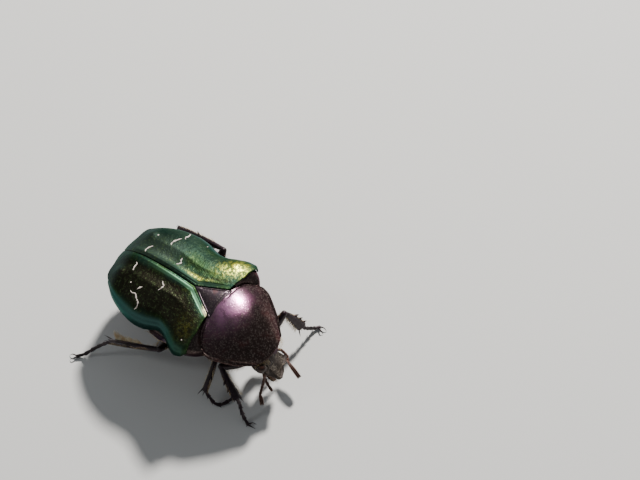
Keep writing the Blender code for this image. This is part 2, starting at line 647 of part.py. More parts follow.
def elytron_surface(u, v):
    """Outer surface of the left wing case, with its sutural ridge and the bump near its tip."""
    x, y = elytron_plan(u, v)
    high = suture_height(y)
    z = high - (high - edge_height(y)) * squarish(u, ELYTRON_SQUARENESS)
    for place, width, rise in (SUTURE_RIDGE, SUTURE_TROUGH):
        z += rise * relief_growth(y) * math.exp(-((x - place) / width)**2)
    reach = ((x - TIP_BUMP[0]) / TIP_BUMP[2])**2 + ((y - TIP_BUMP[1]) / TIP_BUMP[2])**2
    return x, y, z + TIP_BUMP[3] * math.exp(-reach)


def body_section(y, u, fall, step=0.0):
    """Return a point on the upper, then on the lower side of a section of the body."""
    half_up = elytron_width(max(y, THORAX_WIDENS_Y)) - BODY_CLEARANCE
    if y < THORAX_WIDENS_Y:
        narrowed = half_up - THORAX_FRONT_HALF_WIDTH
        half_up = THORAX_FRONT_HALF_WIDTH + narrowed * max(y, 0.0) / THORAX_WIDENS_Y
    high = suture_height(max(y, SUTURE_Y[0])) - BODY_CLEARANCE - BODY_DROP
    top = high - (high - FLANK_Z - FLANK_THICKNESS) * squarish(u, BODY_SQUARENESS)
    bottom = FLANK_Z + (belly_height(y) - step - FLANK_Z) * fall(abs(u))
    return (u * half_up, top), (u * (flank_width(y) + step), bottom)


def thorax_point(u, v, side):
    """Return a point on the thorax: side 0 is its upper surface, side 1 its lower one."""
    start = hind_margin(u * THORAX_FRONT_HALF_WIDTH) + GAP
    y = start + (THORAX_END_Y - start) * v
    x, z = body_section(y, u, thorax_fall, HIP_PLATE_STEP if y > HIP_PLATE_Y else 0.0)[side]
    return x, y, z


def make_thorax():
    """Middle and hind thorax, with the side plates before the shoulders and the breast knob."""
    share = (HIP_PLATE_Y - PRONOTUM_BASE_Y - GAP) / (THORAX_END_Y - PRONOTUM_BASE_Y - GAP)
    along = [share * v for v in steps(6)] + [share + (1.0 - share) * v for v in (0.06, 0.5, 1.0)]
    body = slab("thorax", lambda u, v: thorax_point(u, v, 0), lambda u, v: thorax_point(u, v, 1),
                spread(BODY_COLUMNS), along)
    raised = [ball("breast_knob", BREAST_KNOB, BREAST_KNOB_SIZE)]
    for side in (-1.0, 1.0):
        raised.append(ball("side_plate", (side * SIDE_PLATE[0], *SIDE_PLATE[1:]), SIDE_PLATE_SIZE))
        raised.append(ball("side_root", (side * SIDE_ROOT[0], *SIDE_ROOT[1:]), SIDE_ROOT_SIZE))
    return combine(body, raised, "UNION")


def make_abdomen():
    """Abdomen under the wing cases, stepped at each belly plate."""
    start = THORAX_END_Y + GAP
    rows = []
    for first, end in zip((start, *STERNITE_ENDS_Y[:-1]), STERNITE_ENDS_Y):
        middle = (first + end) / 2.0
        rows += [(first, 0.0), (middle, STERNITE_STEP * 0.6), (end - STERNITE_LIP, STERNITE_STEP)]

    def point(u, row, side):
        y, step = row

        def fall(across):
            share = min((y - start) / ABDOMEN_EASE, 1.0)
            return thorax_fall(across) * (1.0 - share) + abdomen_fall(across) * share
        x, z = body_section(y, u, fall, step)[side]
        return x, y, z
    return slab("abdomen", lambda u, row: point(u, row, 0), lambda u, row: point(u, row, 1),
                spread(ABDOMEN_COLUMNS), rows)


def pygidium_surface(u, v):
    """Outer surface of the last plate, which closes the body below the tips of the wing cases."""
    start = STERNITE_ENDS_Y[-1] + GAP
    half = PYGIDIUM_HALF_WIDTH * (1.0 - PYGIDIUM_NARROWING * v**1.6)
    z = PYGIDIUM_TOP_Z + (belly_height(start) - PYGIDIUM_TOP_Z) * v
    bulge = PYGIDIUM_BULGE * (1.0 - u * u) * (0.35 + 0.65 * math.sin(math.pi * (0.15 + 0.7 * v)))
    return u * half, start + PYGIDIUM_THICKNESS + bulge, z


def body_under(x, y):
    """Return the height of the body's under side at a plan position."""
    if y < PRONOTUM_BASE_Y:
        rows = [pronotum_lower(x / pronotum_width(v), v) for v in steps(81) if abs(x) < pronotum_width(v)]
        return min(rows, key=lambda p: abs(p[1] - y))[2]
    step = HIP_PLATE_STEP if y > HIP_PLATE_Y else 0.0
    return FLANK_Z + (belly_height(y) - step - FLANK_Z) * thorax_fall(abs(x) / flank_width(y))


def under_normal(x, y):
    """Return the direction straight out of the under side."""
    step = 0.2
    slope_x = (body_under(x + step, y) - body_under(x - step, y)) / (2.0 * step)
    slope_y = (body_under(x, y + step) - body_under(x, y - step)) / (2.0 * step)
    return unit((slope_x, slope_y, -1.0))


def make_thigh(name, joints, knee_face, wide):
    """Thigh, with the hip joint that carries it under the body."""
    pair = name.split("_")[1]
    hip, knee = (np.array(joints[key]) for key in ("hip", "knee"))
    start = hip - unit(knee - hip) * COXA_RADIUS * 0.2
    stop = knee - knee_face * (GAP / 2.0)
    places = [start + (stop - start) * t for t in THIGH_PLACES]
    thigh = tube(name, places, THIGH_HALF_WIDTH[pair], THIGH_HALF_THICKNESS, wide, end_face=knee_face)
    root_x, root_y = joints["root"]
    normal = under_normal(root_x, root_y)
    root = np.array((root_x, root_y, body_under(root_x, root_y))) + normal * ROOT_GAP[pair]
    sizes = [COXA_RADIUS * size for size in COXA_SHAPE]
    cap = hip + unit(hip - root) * COXA_CAP
    points = [root, (root + hip) / 2.0, hip, cap]
    coxa = tube("hip_joint", points, sizes, sizes, (0.0, 1.0, 0.0), start_face=normal)
    return combine(thigh, [coxa], "UNION")


def make_shin(name, joints, knee_face, ankle_face, outward, plane):
    """Shin with the teeth of its outer edge and the spurs at its end."""
    pair = name.split("_")[1]
    knee, ankle = (np.array(joints[key]) for key in ("knee", "ankle"))
    start = knee + knee_face * (GAP / 2.0)
    stop = ankle - ankle_face * (GAP / 2.0)
    along = unit(stop - start)
    widths = SHIN_HALF_WIDTH[pair]
    shin = tube(name, [start + (stop - start) * t for t in SHIN_PLACES], widths, SHIN_HALF_THICKNESS, outward,
                start_face=knee_face, end_face=ankle_face)
    spikes = []
    for place in TEETH[pair]:
        root = start + (stop - start) * place
        tip = root + outward * (widths[-1] + TOOTH_REACH) + along * TOOTH_LEAN
        spikes.append(spike("tooth", root, tip, TOOTH_RADIUS))
    for side in SPURS[pair]:
        root = stop + along * SPUR_ROOT[0] + outward * SPUR_ROOT[1] * widths[-1] + plane * SPUR_ROOT[2] * side
        tip = root + along * SPUR_REACH[0] + outward * SPUR_REACH[1] + plane * SPUR_REACH[2] * side
        spikes.append(spike("spur", root, tip, SPUR_RADIUS))
    return combine(shin, spikes, "UNION")


def make_foot(name, joints, ankle_face):
    """Foot of beaded joints with its two claws, cut flat where it stands on the floor."""
    ends = [np.array(joints["ankle"])] + [np.array(p) for p in joints["foot"]]
    path = [ends[0] + ankle_face * (GAP / 2.0)]
    sizes = [FOOT_WAIST]
    for before, after in zip(ends[:-1], ends[1:]):
        path += [before + (after - before) * FOOT_BEAD, after]
        sizes += [FOOT_RADIUS, FOOT_WAIST]
    sizes[-1] = SOLE_RADIUS
    foot = tube(name, path, sizes, sizes, (0.0, 0.0, 1.0), start_face=ankle_face, sides=STALK_SIDES)
    toe = ends[-1]
    claw_end = np.array(joints["claw"])
    aside = unit(np.cross(claw_end - toe, (0.0, 0.0, 1.0)))
    arch = toe + (claw_end - toe) * CLAW_BEND + np.array((0.0, 0.0, CLAW_ARCH))
    claws = []
    for side in (-1.0, 1.0):
        middle = arch + aside * side * CLAW_SPREAD[0]
        tip = claw_end + aside * side * CLAW_SPREAD[1]
        root = toe - unit(claw_end - toe) * CLAW_RADIUS[0] * 0.5
        claws.append(tube("claw", [root, middle, tip], CLAW_RADIUS, CLAW_RADIUS, (0.0, 0.0, 1.0), sides=6))
    combine(foot, claws, "UNION")
    return combine(foot, [floor_block(toe[0], toe[1])], "DIFFERENCE")


def floor_block(x, y):
    """Make a block that fills the space under the floor round a foot."""
    shape = bmesh.new()
    place = Matrix.Translation((x, y, FLOOR_Z - FLOOR_BLOCK / 2.0))
    bmesh.ops.create_cube(shape, size=FLOOR_BLOCK, matrix=place)
    return link("floor_block", shape)


def make_leg(name, joints):
    """One leg in three named parts: thigh, shin and foot."""
    out = np.array((-1.0 if name.endswith("right") else 1.0, -0.3, 0.0))
    hip, knee, ankle = (np.array(joints[key]) for key in ("hip", "knee", "ankle"))
    down_thigh = unit(knee - hip)
    down_shin = unit(ankle - knee)
    plane = unit(np.cross(down_thigh, down_shin))
    knee_face = unit(down_thigh + down_shin)
    ankle_face = unit(down_shin + unit(np.array(joints["foot"][0]) - ankle))
    outward = np.cross(down_shin, plane)
    outward = outward * math.copysign(1.0, np.dot(outward, out))
    return (make_thigh(name + "_femur", joints, knee_face, np.cross(plane, down_thigh)),
            make_shin(name + "_tibia", joints, knee_face, ankle_face, outward, plane),
            make_foot(name + "_tarsus", joints, ankle_face))


def finish(obj, collection, look):
    """Move a part into place in metres, smooth it and give it its colour."""
    move = Matrix.Translation(Vector((-CENTRE_X, -CENTRE_Y, -FLOOR_Z)))
    obj.data.transform(Matrix.Scale(METRES_PER_MM, 4) @ move)
    colour, roughness, metallic = COLOURS[look]
    material = bpy.data.materials.new(obj.name)
    material.use_nodes = True
    surface = material.node_tree.nodes["Principled BSDF"]
    surface.inputs["Base Color"].default_value = (*colour, 1.0)
    surface.inputs["Roughness"].default_value = roughness
    surface.inputs["Metallic"].default_value = metallic
    obj.data.materials.clear()
    obj.data.materials.append(material)
    obj.data.shade_smooth()
    obj.data.set_sharp_from_angle(angle=math.radians(SHARP_DEGREES))
    bpy.context.scene.collection.objects.unlink(obj)
    collection.objects.link(obj)


def main():
    """Build every part of the beetle."""
    for obj in list(bpy.data.objects):
        bpy.data.objects.remove(obj)
    collection = bpy.data.collections.new("rose_chafer")
    bpy.context.scene.collection.children.link(collection)
    sides = [i / 4.0 - 1.0 for i in range(9)]
    elytron = plate("elytron_left", elytron_surface, ELYTRON_COLUMNS, steps(ELYTRON_ROWS), ELYTRON_THICKNESS)
    parts = [
        (make_pronotum(), "pronotum"),
        (plate("scutellum", scutellum_surface, sides, steps(9), SCUTELLUM_THICKNESS), "scutellum"),
        (elytron, "elytron"),
        (mirrored(elytron, "elytron_right"), "elytron"),
        (make_thorax(), "thorax"),
        (make_abdomen(), "abdomen"),
        (plate("pygidium", pygidium_surface, sides, steps(8), PYGIDIUM_THICKNESS), "pygidium"),
        (make_head(), "head"),
        (eye("eye_left", 1.0), "eye"),
        (eye("eye_right", -1.0), "eye"),
        (make_antenna("antenna_left", ANTENNA_LEFT, CLUB_LEFT), "antenna"),
        (make_antenna("antenna_right", ANTENNA_RIGHT, CLUB_RIGHT), "antenna"),
        (make_mouthparts(), "mouthparts"),
    ]
    for name, joints in LEGS.items():
        parts += [(piece, "leg") for piece in make_leg(name, joints)]
    for obj, look in parts:
        finish(obj, collection, look)


main()
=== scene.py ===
"""Picture model of a rose chafer, life size, standing on a plain floor.

Shapes are worked out in millimetres in the beetle's own frame: X to its left, Y toward its rear, Z up,
with the origin on the back where the pronotum ends.  A piece is moved onto the floor and turned into
metres when its mesh is made.
"""
from __future__ import annotations

import logging
import math
from collections.abc import Sequence
from dataclasses import dataclass, field
from enum import Enum

import bmesh
import bpy
import numpy as np
from bpy.types import Material, Mesh, Node, NodeSocket, NodeTree, Object
from mathutils import Matrix, Vector
from mathutils.bvhtree import BVHTree


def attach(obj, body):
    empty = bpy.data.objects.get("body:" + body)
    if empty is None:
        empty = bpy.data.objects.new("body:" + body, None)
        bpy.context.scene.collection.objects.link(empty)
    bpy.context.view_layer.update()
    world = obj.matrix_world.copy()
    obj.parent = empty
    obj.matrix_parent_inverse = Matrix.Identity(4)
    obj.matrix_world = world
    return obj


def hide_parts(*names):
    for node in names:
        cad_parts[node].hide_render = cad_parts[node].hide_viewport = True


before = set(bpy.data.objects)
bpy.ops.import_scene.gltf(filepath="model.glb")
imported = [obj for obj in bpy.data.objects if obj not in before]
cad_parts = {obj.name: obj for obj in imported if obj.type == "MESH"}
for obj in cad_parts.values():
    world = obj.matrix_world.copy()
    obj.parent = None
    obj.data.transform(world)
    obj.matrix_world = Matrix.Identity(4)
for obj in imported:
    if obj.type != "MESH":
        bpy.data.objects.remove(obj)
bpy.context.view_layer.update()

log = logging.getLogger("rose_chafer")

Array = np.ndarray
Point = tuple[float, float, float]
Colour = tuple[float, float, float]
Span = tuple[float, float]
Scale = tuple[float, float, float, float]
Row = tuple[float, ...]
Inputs = dict[int | str, object]
Line = tuple[Point, ...]

METRES_PER_MM = 0.001
FLOOR_Z = -8.4
CENTRE = np.array((-1.22, 2.549, FLOOR_Z))
MIRROR = np.array((-1.0, 1.0, 1.0))
UP = (0.0, 0.0, 1.0)
OBLIQUE = (0.31, 0.22, 0.93)
MERGE = 1e-8
SHARP_DEGREES = 50.0
CAP_STEPS = 4
CAP_TIP = 0.02
SPIKE_STEPS = 8
SPIKE_TAPER = 0.8
SPIKE_TIP = 0.006
SPIKE_CAPS = (0.3, 0.8)
BELL_BASE = 2.718
MARKS = "shell"


class Side(Enum):
    """The beetle's two sides; the value is the sign of X there."""

    RIGHT = -1.0
    LEFT = 1.0


# Curves and grids


class Smooth:
    """A smooth curve through given values that never overshoots them."""

    def __init__(self, places: Sequence[float], values: Sequence[float]) -> None:
        self.x = np.array(places, dtype=float)
        self.y = np.array(values, dtype=float)
        self.run = np.diff(self.x)
        slope = np.diff(self.y) / self.run
        self.tangent = np.zeros_like(self.y)
        self.tangent[0] = slope[0]
        self.tangent[-1] = slope[-1]
        for i in range(1, len(self.x) - 1):
            if slope[i - 1] * slope[i] > 0.0:
                first = 2.0 * self.run[i] + self.run[i - 1]
                second = self.run[i] + 2.0 * self.run[i - 1]
                self.tangent[i] = (first + second) / (first / slope[i - 1] + second / slope[i])

    def __call__(self, t: Array | float) -> Array:
        """Return the curve's value at one place or at many."""
        t = np.clip(t, self.x[0], self.x[-1])
        i = np.clip(np.searchsorted(self.x, t, side="right") - 1, 0, len(self.run) - 1)
        h = self.run[i]
        s = (t - self.x[i]) / h
        return ((2 * s**3 - 3 * s**2 + 1) * self.y[i] + (s**3 - 2 * s**2 + s) * h * self.tangent[i]
                + (3 * s**2 - 2 * s**3) * self.y[i + 1] + (s**3 - s**2) * h * self.tangent[i + 1])


class Path:
    """A smooth line through points, walked from 0 to 1."""

    def __init__(self, points: Sequence[Sequence[float]]) -> None:
        pts = np.array(points, dtype=float)
        reach = np.concatenate([[0.0], np.cumsum(np.linalg.norm(np.diff(pts, axis=0), axis=1))])
        self.length = float(reach[-1])
        self.axes = [Smooth(reach / reach[-1], pts[:, k]) for k in range(pts.shape[1])]

    def __call__(self, t: Array | float) -> Array:
        """Return the point at a share of the way, or the points at many."""
        return np.stack([axis(t) for axis in self.axes], axis=-1)


def unit(v: Array | Sequence[float]) -> Array:
    """Return vectors of length one in the same directions."""
    v = np.array(v, dtype=float)
    return v / np.maximum(np.linalg.norm(v, axis=-1, keepdims=True), 1e-12)


def ramp(count: int) -> Array:
    """Return evenly spaced places from 0 to 1."""
    return np.linspace(0.0, 1.0, count)


def spread(count: int) -> Array:
    """Return places from -1 to 1, closer together toward both ends."""
    return np.sin(np.pi * (ramp(count) - 0.5))


def hump(t: Array, start: float = 0.0, run: float = 1.0) -> Array:
    """Return a part of half a wave, given by the share of it where the part starts and its length."""
    return np.sin(np.pi * (start + run * t))


def bell(x: Array, middle: float, width: float) -> Array:
    """Return a soft bump of height one."""
    return np.exp(-((x - middle) / width)**2)


def bump(x: Array, shape: Point) -> Array:
    """Return a soft bump given by its middle, width and height."""
    return shape[2] * bell(x, shape[0], shape[1])


def lattice(across: Span, along: Span, columns: int, rows: int) -> tuple[Array, Array]:
    """Return a grid of evenly spaced places across and along."""
    return np.meshgrid(np.linspace(*across, columns), np.linspace(*along, rows))


def rise(x: Array, start: float, end: float) -> Array:
    """Return a smooth step from 0 at the start to 1 at the end."""
    t = np.clip((x - start) / (end - start), 0.0, 1.0)
    return t * t * (3.0 - 2.0 * t)


def squarish(u: Array, squareness: float) -> Array:
    """Return how far an arch has fallen, from 0 at its crown to 1 at its foot."""
    return 1.0 - np.maximum(1.0 - np.minimum(np.abs(u), 1.0)**squareness, 0.0)**(1.0 / squareness)


def normals_of(grid: Array) -> Array:
    """Return the normals of a grid of points; they point up where columns run left and rows rearward."""
    return unit(np.cross(np.gradient(grid, axis=1), np.gradient(grid, axis=0)))


def uneven(points: Array, scale: float, seed: float) -> Array:
    """Return a gentle wave field between -1 and 1, the same for the same points."""
    p = np.array(points) * scale + seed
    x, y, z = p[..., 0], p[..., 1], p[..., 2]
    waves = np.sin(1.7 * x + 2.3 * y) + np.sin(2.9 * y - 1.3 * z + 1.0) + np.sin(2.1 * z + 1.9 * x + 2.0)
    return waves / 3.0


# Meshes


class Shape:
    """Points and faces of one piece, collected from grids, shells, lofts and balls."""

    def __init__(self) -> None:
        self.points: list[Array] = []
        self.marks: list[Array] = []
        self.faces: list[Array | list[tuple[int, ...]]] = []
        self.count = 0

    def add(self, points: Array, faces: list[tuple[int, ...]], marks: Array | None = None) -> None:
        """Add points and the faces that join them.

        Args:
            points: one row for each point, in millimetres.
            faces: tuples of indices into those points.
            marks: one vector for each point, kept for the finish to read.
        """
        flat = np.asarray(points, dtype=float).reshape(-1, 3)
        kept = np.zeros_like(flat) if marks is None else np.asarray(marks, dtype=float).reshape(-1, 3)
        self.points.append(flat)
        self.marks.append(kept)
        self.faces += [tuple(self.count + i for i in face) for face in faces]
        self.count += len(flat)

    def shell(self, outer: Array, thickness: float, marks: Array | None = None, rim: int = 6) -> None:
        """Add a curved plate with a half-round rim.

        Args:
            outer: grid of points of the outer surface, whose normals point outward.
            thickness: how far the inner surface lies below it.
            marks: one vector for each point of the grid.
            rim: how many steps go round the rim.
        """
        rows, columns = outer.shape[:2]
        normal = normals_of(outer)
        inner = outer - normal * thickness
        border = [(0, i) for i in range(columns)] + [(j, columns - 1) for j in range(1, rows)]
        border += [(rows - 1, i) for i in range(columns - 2, -1, -1)]
        border += [(j, 0) for j in range(rows - 2, 0, -1)]
        j, i = np.array(border).T
        inside = outer[np.clip(j, 1, rows - 2), np.clip(i, 1, columns - 2)]
        edge, up = outer[j, i], normal[j, i]
        away = edge - inside
        away = unit(away - up * np.sum(away * up, axis=1, keepdims=True))
        half = thickness / 2.0
        layers = [edge - up * half + up * half * math.cos(a) + away * half * math.sin(a)
                  for a in np.linspace(0.0, np.pi, rim + 1)[1:-1]]
        points = np.concatenate([outer.reshape(-1, 3), inner.reshape(-1, 3), *layers])
        given = np.zeros((rows, columns, 3)) if marks is None else marks
        kept = np.concatenate([given.reshape(-1, 3)] * 2 + [given[j, i]] * len(layers))
        base = rows * columns
        faces = grid_faces(rows, columns)
        faces += [tuple(base + k for k in reversed(face)) for face in faces]
        loops = [j * columns + i]
        loops += [2 * base + k * len(border) + np.arange(len(border)) for k in range(len(layers))]
        loops.append(base + j * columns + i)
        for near, far in zip(loops[:-1], loops[1:]):
            turn = np.roll(near, -1), np.roll(far, -1)
            faces += list(zip(turn[0].tolist(), near.tolist(), far.tolist(), turn[1].tolist()))
        self.add(points, faces, kept)

    def loft(self, rings: Array, ends: Array | None = None) -> None:
        """Add a closed body through rings of equal count, with a fan over each end.

        Args:
            rings: one row of points for each ring.
            ends: tips of the two fans; without them, the middles of the first and the last ring.
        """
        rows, columns = rings.shape[:2]
        if ends is None:
            ends = np.stack([rings[0].mean(axis=0), rings[-1].mean(axis=0)])
        base = rows * columns
        top = base - columns
        around = np.arange(columns)
        after = np.roll(around, -1)
        faces = []
        for low in range(0, top, columns):
            loops = low + around, low + after, low + columns + after, low + columns + around
            faces += list(zip(*(loop.tolist() for loop in loops)))
        faces += [(int(b), int(a), base) for a, b in zip(around, after)]
        faces += [(int(top + a), int(top + b), base + 1) for a, b in zip(around, after)]
        self.add(np.concatenate([rings.reshape(-1, 3), ends]), faces)

    def sweep(self, line: Array, widths: Array, heights: Array | None = None, wide: Sequence[float] = UP,
              sides: int = 20, caps: Span = (0.6, 0.6), ribs: tuple[int, float] = (0, 0.0)) -> None:
        """Add a rounded limb along a line of points.

        Args:
            line: points of the centre line.
            widths: half width at each point, along the wide direction.
            heights: half width at each point, across it; without them the limb is round.
            wide: direction in which the width is measured.
            sides: points in a ring.
            caps: how far each end is rounded, as a share of its own half width.
            ribs: how many lengthwise ribs there are, and how high as a share of the radius.
        """
        heights = widths if heights is None else heights
        wide = np.asarray(wide, dtype=float)
        ahead = unit(np.gradient(line, axis=0))
        side = unit(wide - ahead * (ahead @ wide)[:, None])
        high = np.cross(ahead, side)
        angle = np.linspace(0.0, 2.0 * np.pi, sides, endpoint=False)
        swell = 1.0 + ribs[1] * np.cos(ribs[0] * angle)
        ring = (side[:, None] * (np.cos(angle) * swell)[None, :, None] * np.asarray(widths)[:, None, None]
                + high[:, None] * (np.sin(angle) * swell)[None, :, None] * np.asarray(heights)[:, None, None])
        size = min(widths[0], heights[0]) * caps[0], min(widths[-1], heights[-1]) * caps[1]
        first, last = [], []
        for bend in ramp(CAP_STEPS + 1)[1:] * np.pi / 2.0:
            shrink, reach = max(math.cos(bend), CAP_TIP), math.sin(bend)
            first.insert(0, line[0] - ahead[0] * size[0] * reach + ring[0] * shrink)
            last.append(line[-1] + ahead[-1] * size[1] * reach + ring[-1] * shrink)
        self.loft(np.concatenate([np.array(first), line[:, None] + ring, np.array(last)]))

    def spike(self, root: Array, tip: Array, radius: float, curl: Array | None = None,
              sides: int = 8) -> None:
        """Add a sharp cone, bent toward the curl."""
        t = ramp(SPIKE_STEPS)[:, None]
        line = root + (tip - root) * t
        if curl is not None:
            line = line + curl * (t * (1.0 - t)) * 4.0
        size = radius * (1.0 - t[:, 0])**SPIKE_TAPER + SPIKE_TIP
        self.sweep(line, size, wide=np.cross(tip - root, OBLIQUE), sides=sides, caps=SPIKE_CAPS)

    def ball(self, centre: Sequence[float], size: Sequence[float], turn: Array | None = None,
             sides: int = 32, rows: int = 20) -> None:
        """Add an ellipsoid."""
        tilt = np.linspace(0.0, np.pi, rows + 1)[1:-1, None]
        angle = np.linspace(0.0, 2.0 * np.pi, sides, endpoint=False)[None]
        parts = np.sin(tilt) * np.cos(angle), np.sin(tilt) * np.sin(angle), np.cos(tilt) * np.ones_like(angle)
        rings = np.stack(parts, axis=-1) * np.asarray(size)
        ends = np.array([(0.0, 0.0, size[2]), (0.0, 0.0, -size[2])])
        if turn is not None:
            rings, ends = rings @ np.asarray(turn).T, ends @ np.asarray(turn).T
        self.loft(rings + np.asarray(centre), ends + np.asarray(centre))

    def mirror(self) -> Shape:
        """Return the same shape on the beetle's other side."""
        other = Shape()
        other.points = [p * MIRROR for p in self.points]
        other.marks = [m * np.array((1.0, 1.0, -1.0)) for m in self.marks]
        other.faces = [tuple(reversed(face)) for face in self.faces]
        other.count = self.count
        return other

    def make(self, name: str) -> Object:
        """Return the shape as an object on the floor, in metres, with its faces outward."""
        points = (np.concatenate(self.points) - CENTRE) * METRES_PER_MM
        mesh = bpy.data.meshes.new(name)
        mesh.from_pydata(points.tolist(), [], self.faces)
        attribute = mesh.attributes.new(MARKS, "FLOAT_VECTOR", "POINT")
        attribute.data.foreach_set("vector", np.concatenate(self.marks).astype(np.float32).ravel())
        work = bmesh.new()
        work.from_mesh(mesh)
        bmesh.ops.remove_doubles(work, verts=work.verts, dist=MERGE)
        bmesh.ops.dissolve_degenerate(work, dist=MERGE, edges=work.edges)
        bmesh.ops.recalc_face_normals(work, faces=work.faces)
        work.to_mesh(mesh)
        work.free()
        mesh.shade_smooth()
        mesh.set_sharp_from_angle(angle=math.radians(SHARP_DEGREES))
        return place_object(name, mesh)


def place_object(name: str, data: object) -> Object:
    """Return a new object in the scene."""
    obj = bpy.data.objects.new(name, data)
    bpy.context.scene.collection.objects.link(obj)
    return obj


def grid_faces(rows: int, columns: int) -> list[tuple[int, int, int, int]]:
    """Return the four-sided faces of a grid of points stored row by row."""
    return [(j * columns + i, j * columns + i + 1, (j + 1) * columns + i + 1, (j + 1) * columns + i)
            for j in range(rows - 1) for i in range(columns - 1)]


def ellipse_rings(upper: Array, lower: Array) -> Array:
    """Join an upper and a lower grid, row by row, into closed rings."""
    return np.concatenate([upper, lower[:, -2:0:-1]], axis=1)


# Node trees


def plug(tree: NodeTree, socket: NodeSocket, value: object) -> None:
    """Link another node's output to an input, or set the input to a value."""
    if isinstance(value, Wire):
        value = value.socket
    if isinstance(value, NodeSocket):
        tree.links.new(value, socket)
    elif isinstance(value, tuple) and len(value) == 3 and socket.type == "RGBA":
        socket.default_value = (*value, 1.0)
    else:
        socket.default_value = value


def add_node(tree: NodeTree, kind: str, inputs: Inputs | None = None, **settings: object) -> Node:
    """Add a node, set its options, and link or set its inputs."""
    node = tree.nodes.new(kind)
    for key, value in settings.items():
        setattr(node, key, value)
    for key, value in (inputs or {}).items():
        plug(tree, node.inputs[key], value)
    return node


# Finishes


class Wire:
    """An output of a shader node that can be used in sums."""

    def __init__(self, recipe: Recipe, socket: NodeSocket) -> None:
        self.recipe = recipe
        self.socket = socket

    def _sum(self, operation: str, first: Wire | float, second: Wire | float, clamp: bool = False) -> Wire:
        node = self.recipe.node("Math", {0: first, 1: second}, operation=operation, use_clamp=clamp)
        return Wire(self.recipe, node.outputs[0])

    def __add__(self, other: Wire | float) -> Wire:
        return self._sum("ADD", self, other)

    def __radd__(self, other: float) -> Wire:
        return self._sum("ADD", other, self)

    def __sub__(self, other: Wire | float) -> Wire:
        return self._sum("SUBTRACT", self, other)

    def __rsub__(self, other: float) -> Wire:
        return self._sum("SUBTRACT", other, self)

    def __mul__(self, other: Wire | float) -> Wire:
        return self._sum("MULTIPLY", self, other)

    def __truediv__(self, other: Wire | float) -> Wire:
        return self._sum("DIVIDE", self, other)

    def clamp(self) -> Wire:
        """Keep the value between 0 and 1."""
        return self._sum("ADD", self, 0.0, clamp=True)

    def rise(self, start: float, end: float, low: float = 0.0, high: float = 1.0) -> Wire:
        """Turn the value into a smooth step from low at the start to high at the end."""
        node = self.recipe.node("MapRange", {0: self, 1: start, 2: end, 3: low, 4: high},
                                interpolation_type="SMOOTHSTEP")
        return Wire(self.recipe, node.outputs[0])

    def bell(self, middle: float, width: float) -> Wire:
        """Turn the value into a soft bump of height one."""
        away = (self - middle) / width
        return self._sum("POWER", BELL_BASE, away * away * -1.0)


